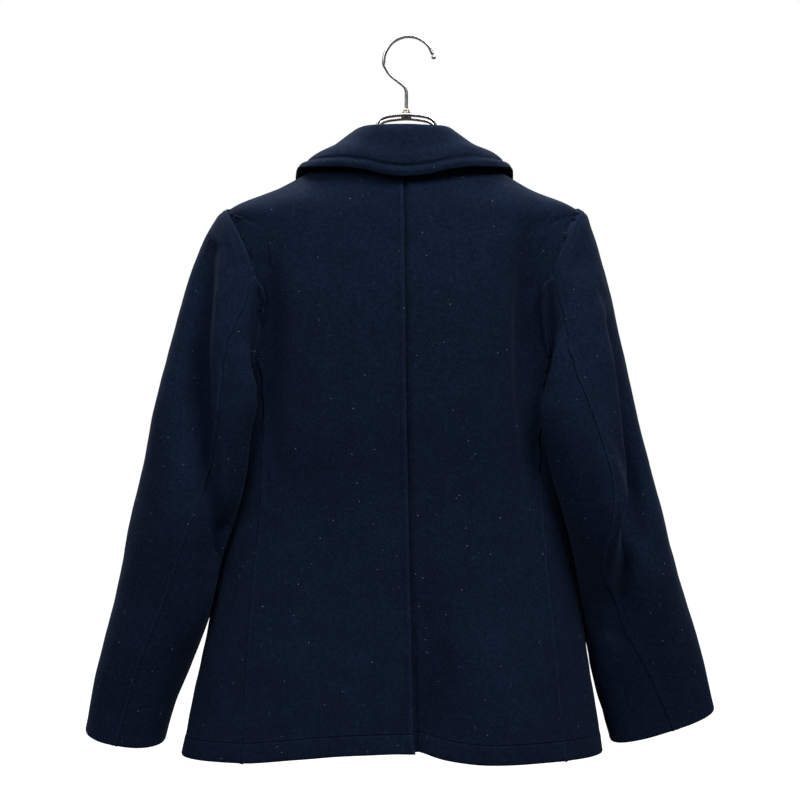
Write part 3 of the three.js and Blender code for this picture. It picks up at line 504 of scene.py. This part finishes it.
def read_table(table, at):
    """Looks values up in a table of (place, value) rows, and between them."""
    return np.interp(at, *zip(*table))


def samples(edge):
    start, end = (vert.co for vert in edge.verts)
    return [start.lerp(end, share) for share in (0, 0.25, 0.5, 0.75, 1)]


def distances(points, places):
    """How far each place is from the nearest of the points, in mm."""
    if not points:
        return np.full(len(places), FAR)
    tree = kdtree.KDTree(len(points))
    for i, point in enumerate(points):
        tree.insert(point, i)
    tree.balance()
    return np.array([tree.find(place)[2] for place in places.tolist()]) / MM


def read_points(cloth):
    """The places and normals of a mesh's points, as two arrays."""
    cloth.normal_update()
    return np.array([vert.co for vert in cloth.verts]), np.array([vert.normal for vert in cloth.verts])


def move_points(cloth, places):
    for vert, place in zip(cloth.verts, places.tolist()):
        vert.co = place


def names_at(edge):
    """The pieces whose faces meet at an edge of the skin."""
    return [NAMES[face[piece_layer] - 1] for face in edge.link_faces]


def seen_from_behind(places):
    """Each point's place in the back view: mm from the middle, and mm above the hook."""
    return np.column_stack([(places[:, 0] - MIDDLE_X), places[:, 2]]) / MM


places, normals = read_points(skin)
on_piece = np.array([NAMES[vert.link_faces[0][piece_layer] - 1] for vert in skin.verts])
group = np.array([name.split("_", 1)[1] if "sleeve" in name else "body" for name in on_piece])
print("points of the skin:", len(places))

# %% [markdown]
# An empty sleeve twists a little as it hangs, so its back seam wanders. The seam could be drawn anew, but
# it is simpler to slide the skin's points along its own surface: the seam moves and the form stays.

# %% Slide the sleeves' back seams
SEAM_SHIFTS = {    # mm below the hook, and mm across
    "sleeve_left": ((266, 0), (285, -10), (308, -7), (334, 2), (354, 7), (380, 10), (407, 9), (444, 6),
                    (510, 4), (577, 0)),
    "sleeve_right": ((262, 0), (280, 10), (308, 11), (340, 8), (377, 3), (420, 0), (540, 2), (597, 10),
                     (650, 10), (717, 5), (760, 3)),
}
SHIFT_WIDTH = 30    # mm to each side of the seam that slide with it
surface = BVHTree.FromBMesh(skin)
seam_points = {key: [] for key in SEAM_SHIFTS}
for edge in skin.edges:
    sides = set(names_at(edge))
    for side in ("left", "right"):
        if sides == {f"upper_sleeve_{side}", f"under_sleeve_{side}"} and edge.verts[0].normal.y > 0.1:
            seam_points[f"sleeve_{side}"].append(edge.verts[0].co.copy())
depth = -seen_from_behind(places)[:, 1]
for key, shifts in SEAM_SHIFTS.items():
    reach = distances(seam_points[key], places)
    shift = read_table(shifts, depth)
    shift *= (group == key) * bump(reach, SHIFT_WIDTH)
    for i in np.flatnonzero(np.abs(shift) > 0.05):
        target = Vector(places[i]) + Vector((shift[i] * MM, 0, 0))
        places[i] = surface.find_nearest(target)[0]

# %% [markdown]
# A thick sleeve that rests against the body bulges over it. Its inner edge is moved towards the body by a
# table of heights, most at the edge and less across the sleeve, and not at the armhole, where it is sewn
# on. Above the elbow only the back half bulges. Lower down the sleeve does so all round.

# %% Bulge the sleeves over the body
BULGES = {    # mm below the hook, and mm that the inner edge moves
    "sleeve_left": ((335, 0), (352, 5), (382, 9), (402, 8), (425, 2), (470, 3), (520, 0)),
    "sleeve_right": ((320, 0), (350, 10), (380, 11), (408, 12), (424, 9), (445, 9), (510, 7), (560, 8),
                     (600, 9), (650, 9), (690, 7), (740, 0)),
}
BULGE_WIDTH = 55        # mm across the sleeve
BULGE_BACK = 0.25       # of the move also goes to the back
ROW = 10                # mm of height in which the inner edge is looked for
ROW_SPILL = 6           # mm past the row, so that it doesn't jump
armhole = []
for edge in skin.edges:
    if len({"sleeve" in name for name in names_at(edge)}) == 2:
        armhole += samples(edge)
from_armhole = distances(armhole, places)
for key, bulges in BULGES.items():
    mine = group == key
    level = places[:, 2] / MM
    across = np.abs(places[:, 0] - MIDDLE_X) / MM
    amount = read_table(bulges, -level)
    inner = np.full(len(places), FAR)
    for low in range(-800, -200, ROW):
        row = mine & (level >= low) & (level < low + ROW)
        if row.any():
            near = mine & (level >= low - ROW_SPILL) & (level < low + ROW + ROW_SPILL)
            inner[row] = across[near].min()
    back_or_low = np.maximum(smooth_step(places[:, 1] / MM, 0, 26), smooth_step(-level, 480, 540))
    weight = mine * (1 - smooth_step(across - inner, 0, BULGE_WIDTH)) * back_or_low
    weight *= smooth_step(from_armhole, 1, 18)
    toward_middle = -1 if key == "sleeve_left" else 1
    places[:, 0] += toward_middle * weight * amount * MM
    places[:, 1] += BULGE_BACK * weight * amount * MM

# %% [markdown]
# The folds are placed one by one, as the photograph shows them. Each is a soft trough (a height below 0) or
# ridge along a few points of the back view, in mm across and up from the hook. It may fall off faster on
# its outer side, away from the coat's middle, as on the sleeves, where the wool folds over itself in a
# sharp edge. It moves the cloth along its own normal.

# %% Folds
BACK, FRONT = 1, -1
# The pieces, the face, the path, the height, and the half widths on its inner and outer side.
FOLDS = [
    ("sleeve_left", BACK, [(200, -226), (199, -264), (200, -289), (202, -326), (204, -355), (204, -385),
                           (200, -410)], 5, 26, 5),
    ("sleeve_left", BACK, [(214, -236), (219, -280), (224, -345), (222, -398), (216, -452), (209, -500),
                           (200, -540)], -24, 9, 18),
    ("sleeve_left", BACK, [(186, -530), (196, -560), (206, -585)], -11, 20, 18),
    ("sleeve_left", BACK, [(216, -560), (228, -610), (246, -680)], 6, 22, 22),
    ("sleeve_left", BACK, [(262, -330), (275, -400), (288, -470)], 5, 20, 16),
    ("sleeve_right", BACK, [(-206, -290), (-215, -326), (-219, -360), (-223, -401), (-226, -442),
                            (-228, -496), (-225, -531), (-216, -590), (-210, -640)], 11, 22, 4),
    ("sleeve_right", BACK, [(-222, -318), (-231, -360), (-236, -401), (-240, -442), (-243, -496),
                            (-240, -540), (-232, -590), (-226, -650)], -20, 8, 15),
    ("sleeve_right", BACK, [(-186, -500), (-196, -560), (-203, -620)], 3, 8, 8),
    ("sleeve_right", BACK, [(-262, -480), (-272, -560), (-288, -640)], 5, 18, 18),
    ("body", BACK, [(-134, -222), (-131, -270), (-130, -334), (-130, -398), (-136, -470)], -19, 15, 24),
    ("body", BACK, [(147, -262), (149, -320), (150, -398), (148, -460)], -11, 12, 24),
    ("body", BACK, [(-24, -612), (-28, -690), (-30, -775)], -8, 16, 26),
    ("body", BACK, [(-80, -640), (-90, -720), (-98, -790)], 6, 34, 34),
    ("body", BACK, [(60, -660), (64, -730), (70, -790)], 4, 40, 34),
    ("body", BACK, [(-62, -330), (-70, -420), (-72, -520)], 3, 34, 34),
    ("body", BACK, [(66, -320), (74, -420), (78, -520)], 3, 34, 34),
    ("body", FRONT, [(-118, -300), (-120, -400), (-112, -500)], -4, 16, 20),
    ("body", FRONT, [(124, -300), (126, -400), (118, -500)], -4, 16, 20),
    ("body", FRONT, [(92, -560), (104, -660), (112, -780)], 4, 26, 26),
    ("body", FRONT, [(-96, -580), (-104, -680), (-110, -780)], 4, 26, 26),
]
ARMHOLE_FADE = 14           # mm past the armhole over which a fold runs out
BROAD_WAVE = (14, 1.3)      # the wool's own unevenness: waves per metre, and height in mm
FINE_WAVE = (45, 0.5)


def fold_height(points, path, height, inner, outer):
    """The height of one fold at each point (x, z) of the back view, in mm."""
    best = np.full(len(points), 1e9)
    along = np.zeros(len(points))
    outside = np.zeros(len(points), bool)
    for i, (start, end) in enumerate(zip(path, path[1:])):
        start, run = np.array(start), np.subtract(end, start)
        t = np.clip((points - start) @ run / (run @ run), 0, 1)
        foot = start + t[:, None] * run
        distance = np.linalg.norm(points - foot, axis=1)
        closer = distance < best
        best[closer] = distance[closer]
        along[closer] = (i + t[closer]) / (len(path) - 1)
        outside[closer] = (np.abs(points[:, 0]) > np.abs(foot[:, 0]))[closer]
    profile = bump(best, np.where(outside, outer, inner))
    return height * profile * np.sin(np.pi * (0.1 + 0.8 * along))


back_view = seen_from_behind(places)
rise = np.zeros(len(places))
for pieces, face, path, height, inner, outer in FOLDS:
    weight = np.clip(1.6 * face * normals[:, 1], 0, 1)
    across_armhole = 1 - smooth_step(from_armhole, 0, ARMHOLE_FADE)
    reach = np.where((group == "body") == (pieces == "body"), group == pieces, across_armhole)
    rise += reach * weight * fold_height(back_view, path, height, inner, outer)
for i, place in enumerate(places.tolist()):
    at = Vector(place)
    rise[i] += (BROAD_WAVE[1] * noise.noise(at * BROAD_WAVE[0])
                + FINE_WAVE[1] * noise.noise(at * FINE_WAVE[0] + Vector((3, 1, 7))))
places += normals * (rise * MM)[:, None]
print("folds move the cloth by", round(rise.min(), 1), "to", round(rise.max(), 1), "mm")

# %% [markdown]
# Below the waist the centre seam is left open as a vent. The wearer's left back laps over the right one.
# Its free edge stands off a little, its corner curls, and the right back falls in behind it. Cutting a
# gap would let the light through, which a real vent with its underlap doesn't.

# %% Open the vent
CENTRE_SEAM = ((140, 2.5), (300, 1), (400, 0), (500, -2), (600, -4), (700, -6), (790, -8))
VENT_OPENS = (585, 770)     # mm below the hook, where it starts and where it is fully open
CORNER = (755, 785)         # mm below the hook, of the curl
STAND_OFF = 5.0             # mm
CURL_OUT = 3.0              # mm to the back
CURL_ASIDE = 3.5            # mm across
FALL_IN = 9.0               # mm
x, z = back_view.T
from_edge = x - read_table(CENTRE_SEAM, -z)
opened = smooth_step(-z, *VENT_OPENS)
upper = (on_piece == "back_left") * opened
lower = (on_piece == "back_right") * opened
curl = (on_piece == "back_left") * smooth_step(-z, *CORNER) * bump(from_edge, 9)
places[:, 1] += MM * (STAND_OFF * upper * bump(from_edge, 20) + CURL_OUT * curl)
places[:, 0] -= MM * CURL_ASIDE * curl
places[:, 1] -= MM * FALL_IN * lower * bump(from_edge + 9, 13)
move_points(skin, places)

# %% [markdown]
# Now the seams are looked up, before the skin is cut there again. At every seam one side is pressed over
# the other's allowance, so its edge stands proud as a fine ridge and the other dips under it. The
# shoulder seam is the exception: it is pressed open and lies flat.

# %% Find the seams
LAID_OVER = ("side", "front", "back", "under_sleeve", "upper_sleeve")    # each lies over those before it
HEMS_BELOW = -0.70      # and the cuffs


def layer_of(name):
    return LAID_OVER.index(name.rsplit("_", 1)[0])


over = {name: [] for name in NAMES}
under = {name: [] for name in NAMES}
hems = {name: [] for name in NAMES}
for edge in skin.edges:
    sides = names_at(edge)
    start, end = (vert.co for vert in edge.verts)
    if len(sides) == 1:
        level = abs(start.z - end.z) < 0.7 * edge.calc_length()
        if start.z < HEMS_BELOW and level:
            hems[sides[0]] += samples(edge)
        elif sides[0] == "back_left" and abs(start.x) < 0.03:
            over["back_left"] += samples(edge)
    elif len(sides) == 2 and sides[0] != sides[1]:
        first, second = sorted(sides, key=layer_of)
        if first.startswith("front") and second.startswith("back"):
            continue
        under[first] += samples(edge)
        over[second] += samples(edge)
for label, found in (("hems and cuffs", hems), ("seams", over)):
    print("points on", label, sum(map(len, found.values())))

# %% [markdown]
# Each of the maker's pieces becomes one object. Solidify gives the wool its thickness inwards, from the
# outer face, so the outer face stays where the frame has it. A point's distances to its piece's seams and
# hems are kept as attributes for the material.


def to_object(cloth, name):
    mesh = bpy.data.meshes.new(name)
    cloth.to_mesh(mesh)
    cloth.free()
    mesh.polygons.foreach_set("use_smooth", [True] * len(mesh.polygons))
    return add_object(name, mesh)


def finished(made, name, material):
    """Gives a piece its material, slot and body, and hides the CAD node that it replaces, if there is one.
    """
    made.data.materials.append(material)
    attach(made, "root")
    if name:
        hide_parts(name)
    return made


def cloth_object(cloth, name, seam, hem=None, thickness=CLOTH):
    made = to_object(cloth, f"wool_{name}")
    for label, numbers in (("seam_mm", seam), ("hem_mm", hem)):
        carried = made.data.attributes.new(label, "FLOAT", "POINT")
        numbers = np.full(len(made.data.vertices), FAR) if numbers is None else numbers
        carried.data.foreach_set("value", numbers.astype(np.float32))
    thick = made.modifiers.new("cloth thickness", "SOLIDIFY")
    thick.thickness = thickness
    thick.offset = -1
    finished(made, name, wool)
    return made


# %% [markdown]
# A real seam is thick: four layers of melton meet in it, and the iron leaves a soft ridge beside it. A
# narrow band of faces is inset along each edge first, because the ridge needs points closer than the skin
# has. The under side's edge is tucked beneath the other, so that no light shows through the seam.

# %% Cut the skin into its pieces
SEAM_BAND = 1.4 * MM
TUCK = 1.5 * MM         # of the under side
# All in mm: what the pressed shapes do to the cloth's height.
RIDGE = 0.9             # beside the upper side's edge
LIP = 0.3               # down at that edge
DIP = 0.7               # down at the under side's edge
HEM_ROUND = 0.7         # down at a hem's fold
HEM_STEP = 0.8          # over the turned-up hem
SLEEVE_HEAD = 2.2       # where a sleeve is set in at the shoulder


def cut_out(number, name):
    """One piece of the skin as an object, with its seams and hems pressed."""
    cloth = skin.copy()
    layer = cloth.faces.layers.int["piece"]
    others = [face for face in cloth.faces if face[layer] != number]
    bmesh.ops.delete(cloth, geom=others, context="FACES")
    bmesh.ops.inset_region(cloth, faces=cloth.faces, use_boundary=True, use_even_offset=False,
                           thickness=SEAM_BAND, depth=0)
    places, normals = read_points(cloth)
    proud, dipped, hem = (distances(found[name], places) for found in (over, under, hems))
    height = RIDGE * smooth_step(proud, 0, 1.3) * (1 - smooth_step(proud, 4.5, 8))
    height -= LIP * (1 - smooth_step(proud, 0, 1.2))
    height -= DIP * (1 - smooth_step(dipped, 0, 3.2))
    height -= HEM_ROUND * (1 - smooth_step(hem, 0, 1.5))
    if "sleeve" in name:
        at_shoulder = smooth_step(places[:, 2], -0.31, -0.25)
        height += SLEEVE_HEAD * at_shoulder * bump(proud - 10, 8)
        hem[:] = FAR    # no stitch shows at a cuff
    else:
        height += HEM_STEP * (1 - smooth_step(hem, HEM_DEPTH - 3, HEM_DEPTH + 3))
    for vert in cloth.verts:
        if vert.is_boundary and dipped[vert.index] < 0.5:
            beside = sum((face.calc_center_median() for face in vert.link_faces), Vector())
            away = vert.co - beside / len(vert.link_faces)
            away -= vert.normal * away.dot(vert.normal)
            places[vert.index] += away.normalized() * TUCK
    move_points(cloth, places + normals * (height * MM)[:, None])
    cloth_object(cloth, name, seam=proud, hem=hem)


for number, name in enumerate(NAMES, 1):
    cut_out(number, name)
skin.free()

# %% [markdown]
# The collar is two layers of melton, turned and stitched 11 mm from its edge, which puffs the edge into a
# thick round lip. The lapels and the pockets' welts are double too. Their rims could be subdivided round,
# but a bevel on the thick edge is enough and keeps the mesh small.

# %% Collar, lapels and welts
COLLAR_STITCH = 11.0    # mm from the edge
COLLAR_LIFT = ((0, -1), (25, 0), (43, 3.6), (67, 5), (91, 3), (115, 0.5), (140, 0))    # mm across, mm up
STITCH_DENT = 1.5       # mm deep
NECK = Vector((MIDDLE_X, 0, -0.125))
IN_FRONT_PANEL = Vector((0, 0.5, -0.3))    # the lapels and welts face away from this point


def bevelled(made, label, width, bend):
    """Rounds an object's edges where they bend by more than so many degrees."""
    rounded = made.modifiers.new(label, "BEVEL")
    rounded.width = width
    rounded.segments = 3
    rounded.limit_method = "ANGLE"
    rounded.angle_limit = math.radians(bend)
    return rounded


def on_the_fall(vert):
    """Whether a point of the collar's rim lies on its outer edge, not on its neck seam."""
    return vert.normal.dot((vert.co - NECK) * Vector((1, 1, 0))) > 0


def double_cloth(name, away_from, thickness, stitch, puff, turned=lambda vert: True):
    """A doubled piece. turned says whether a point of its rim lies on a turned and stitched edge."""
    cloth = smoothed(outer_sheet(name, away_from))
    places, normals = read_points(cloth)
    rim = [edge for edge in cloth.edges if edge.is_boundary and turned(edge.verts[0])]
    from_rim = distances([point for edge in rim for point in samples(edge)], places)
    if name == "collar":
        across = np.abs(places[:, 0] - MIDDLE_X) / MM
        places[:, 2] += read_table(COLLAR_LIFT, across) * (1 - smooth_step(from_rim, 12, 48)) * MM
    height = puff * bump(from_rim - 0.42 * stitch, 0.38 * stitch)
    height -= STITCH_DENT * bump(from_rim - stitch, 1.8)
    for i, place in enumerate(places.tolist()):
        height[i] += 0.7 * noise.noise(Vector(place) * 26)
    move_points(cloth, places + normals * (height * MM)[:, None])
    seam = np.where(from_rim < stitch, FAR, from_rim - stitch + SEAM_WIDTH)
    made = cloth_object(cloth, name, seam, thickness=thickness)
    bevelled(made, "round rim", 0.3 * thickness, 50)


double_cloth("collar", NECK, 4.0 * MM, COLLAR_STITCH, 1.6, on_the_fall)
for side in ("left", "right"):
    double_cloth(f"lapel_{side}", IN_FRONT_PANEL, 3.6 * MM, 9.0, 0.8)
    double_cloth(f"pocket_welt_{side}", IN_FRONT_PANEL, CLOTH, 5.0, 0.4)

# %% [markdown]
# The hanger's wires are drawn round, so each is a smooth copy of its CAD tube. The nut and the bridge are
# pressed and turned, and keep their flats, so only their corners are eased, by a bevel.

# %% Round wire, nut and bridge
def cad_copy(name):
    return merged_copy(name, 0.01 * MM, 40, 40)


def eased(name, label, material, width):
    """A copy of a CAD piece with its sharp edges rounded."""
    made = to_object(cad_copy(name), label)
    bevelled(made, "eased edges", width, 25).harden_normals = True
    return finished(made, name, material)


for name in ("hanger_frame", "hanger_hook", "hook_ball"):
    finished(to_object(smoothed(cad_copy(name), 2), f"drawn_{name}"), name, steel)
eased("hook_nut", "turned_nut", brass, 0.45 * MM)
eased("hanger_bridge", "bridge_plate", dark_steel, 0.6 * MM)

# %% [markdown]
# A short ferrule hides the hook's thread above the nut, and a bolt's end shows on the bridge's back. Both
# are turned parts, so a profile is spun round an axis, as on a lathe. The bolt takes six steps, for its
# hexagon.

# %% Ferrule and bolt
# Radius and height in mm, the ferrule's from the hook and the bolt's from its own middle.
FERRULE = [(1.75, -80.3), (3.1, -80.3), (3.3, -79.9), (3.3, -78.9), (2.7, -78.1), (2.3, -77.6),
           (1.75, -77.5)]
BOLT = [(0.0, -1.2), (2.9, -1.2), (3.1, -0.9), (3.1, 0.6), (2.6, 1.2), (1.2, 1.3), (1.0, 0.7), (0.0, 0.7)]
BOLT_STANDS_OUT = 1.1 * MM


def turned(profile, sides=48):
    """A ring turned from a closed profile of (radius, height) in mm, about Z."""
    ring = bmesh.new()
    points = [ring.verts.new((radius * MM, 0, height * MM)) for radius, height in profile]
    edges = [ring.edges.new((point, points[i - 1])) for i, point in enumerate(points)]
    bmesh.ops.spin(ring, geom=points + edges, cent=(0, 0, 0), axis=(0, 0, 1), angle=2 * math.pi, steps=sides,
                   use_merge=True)
    bmesh.ops.remove_doubles(ring, verts=ring.verts, dist=0.01 * MM)
    bmesh.ops.recalc_face_normals(ring, faces=ring.faces)
    return ring


ferrule = turned(FERRULE)
bmesh.ops.translate(ferrule, verts=ferrule.verts, vec=(MIDDLE_X, 0, 0))
finished(to_object(ferrule, "ferrule"), None, brass)
bolt = turned(BOLT, 6)
bmesh.ops.transform(bolt, verts=bolt.verts, matrix=Matrix.Rotation(math.radians(-90), 4, "X"))
bridge_box = [Vector(corner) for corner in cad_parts["hanger_bridge"].bound_box]
bridge_middle = sum(bridge_box, Vector()) / 8
bridge_back = max(corner.y for corner in bridge_box)
bolt_place = (bridge_middle.x, bridge_back + BOLT_STANDS_OUT, bridge_middle.z)
bmesh.ops.translate(bolt, verts=bolt.verts, vec=bolt_place)
finished(to_object(bolt, "bolt_end"), None, dark_steel)

# %% [markdown]
# A coat button is pressed: a raised rim, a sunken plate and four holes. The rim is turned. The holes
# could be cut with booleans, but those leave stray faces, so the plate is filled between its outline and
# the holes'.

# %% Buttons
HOLE_RADIUS = 1.15 * MM
HOLE_SPREAD = 2.5 * MM    # of each hole from the button's middle, each way
DISH_TOP = 3.1            # mm above the button's foot
DISH_RADIUS = 9.0
DISH_DEPTH = 2.2 * MM
RIM_PROFILE = [(8.8, 0.0), (10.5, 0.0), (12.6, 0.5), (13.7, 1.6), (14.0, 2.9), (13.7, 4.1), (12.8, 4.85),
               (11.6, 4.9), (10.6, 4.3), (9.9, 3.5), (9.0, DISH_TOP), (8.8, DISH_TOP)]


def round_turn(count):
    return [2 * math.pi * i / count for i in range(count)]


def pressed_button():
    """A button about Z, with its foot at 0: a ring for the rim, and a plate with four holes in it."""
    button = turned(RIM_PROFILE)
    plate = bmesh.new()
    holes = [(x * HOLE_SPREAD, y * HOLE_SPREAD) for x in (-1, 1) for y in (-1, 1)]
    loops = [(0.0, 0.0, DISH_RADIUS * MM, 48)] + [(x, y, HOLE_RADIUS, 20) for x, y in holes]
    for x, y, radius, count in loops:
        points = [plate.verts.new((x + radius * math.cos(a), y + radius * math.sin(a), DISH_TOP * MM))
                  for a in round_turn(count)]
        for i, point in enumerate(points):
            plate.edges.new((point, points[i - 1]))
    bmesh.ops.triangle_fill(plate, edges=plate.edges, use_beauty=True)
    for face in plate.faces:
        if face.normal.z < 0:
            face.normal_flip()
    in_holes = []
    for face in plate.faces:
        centre = face.calc_center_median()
        if min(math.hypot(centre.x - x, centre.y - y) for x, y in holes) < 0.8 * HOLE_RADIUS:
            in_holes.append(face)
    bmesh.ops.delete(plate, geom=in_holes, context="FACES")
    grown = bmesh.ops.extrude_face_region(plate, geom=list(plate.faces), use_keep_orig=True)
    lowered = [part for part in grown["geom"] if isinstance(part, bmesh.types.BMVert)]
    bmesh.ops.translate(plate, verts=lowered, vec=(0, 0, -DISH_DEPTH))
    bmesh.ops.recalc_face_normals(plate, faces=plate.faces)
    holder = bpy.data.meshes.new("plate")
    plate.to_mesh(holder)
    plate.free()
    button.from_mesh(holder)
    return button


# %% [markdown]
# Two bars of thick thread hold each button. A bar could be one fat tube, but close by its strands show,
# so it is five fine ones, which rise out of one hole and go down into the other.

# %% Thread
STRANDS = 5
STRAND_GAP = 0.42             # mm
STRAND_RADIUS = 0.28 * MM
STRAND_SIDES = 8
BAR_STEPS = 12
BAR_SINK = 1.2                # mm that its ends lie below the plate's top
BAR_RISE = 2.1                # mm from its ends to its middle
BAR_LENGTH = 2.1 * HOLE_SPREAD


def strand(mesh, path):
    """Adds a closed tube along a path."""
    rings = []
    for i, point in enumerate(path):
        run = (path[min(i + 1, BAR_STEPS)] - path[max(i - 1, 0)]).normalized()
        aside = Vector((0, 1, 0))
        up = run.cross(aside)
        rings.append([mesh.verts.new(point + STRAND_RADIUS * (math.cos(a) * aside + math.sin(a) * up))
                      for a in round_turn(STRAND_SIDES)])
    for first, second in zip(rings, rings[1:]):
        for k in range(STRAND_SIDES):
            mesh.faces.new((first[k - 1], first[k], second[k], second[k - 1]))
    mesh.faces.new(rings[0])
    mesh.faces.new(rings[-1][::-1])


def thread_bars():
    """Two bars of thread across the holes."""
    sewn = bmesh.new()
    for side in (-1, 1):
        for number in range(STRANDS):
            y = side * HOLE_SPREAD + STRAND_GAP * (number - 2) * MM
            path = []
            for step in range(BAR_STEPS + 1):
                share = step / BAR_STEPS
                bow = math.sin(math.pi * share) ** 0.6
                x = (share - 0.5) * BAR_LENGTH
                z = (DISH_TOP - BAR_SINK + BAR_RISE * bow) * MM
                path.append(Vector((x, y, z)))
            strand(sewn, path)
    bmesh.ops.recalc_face_normals(sewn, faces=sewn.faces)
    return sewn


# %% [markdown]
# Each button is pressed about Z at the origin and then carried to its place. The frame's own button says
# where: its thinnest direction is the axis, and its lowest point along that axis is the foot on the
# cloth.

# %% Sew the buttons on
buttons = [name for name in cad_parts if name.startswith("button")]
for name in buttons:
    points = np.array([vert.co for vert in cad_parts[name].data.vertices])
    middle = (points.max(axis=0) + points.min(axis=0)) / 2
    axis = Vector(np.linalg.svd(points - points.mean(axis=0))[2][2])
    if axis.y > 0:
        axis = -axis
    foot = min(Vector(point - middle).dot(axis) for point in points)
    turned_to_axis = axis.to_track_quat("Z", "Y").to_matrix().to_4x4()
    seat = Matrix.Translation(Vector(middle) + axis * foot) @ turned_to_axis
    for made, label, material in ((pressed_button(), f"pressed_{name}", horn),
                                  (thread_bars(), f"thread_{name}", thread)):
        bmesh.ops.transform(made, verts=made.verts, matrix=seat)
        finished(to_object(made, label), name if material == horn else None, material)
print("buttons:", len(buttons))
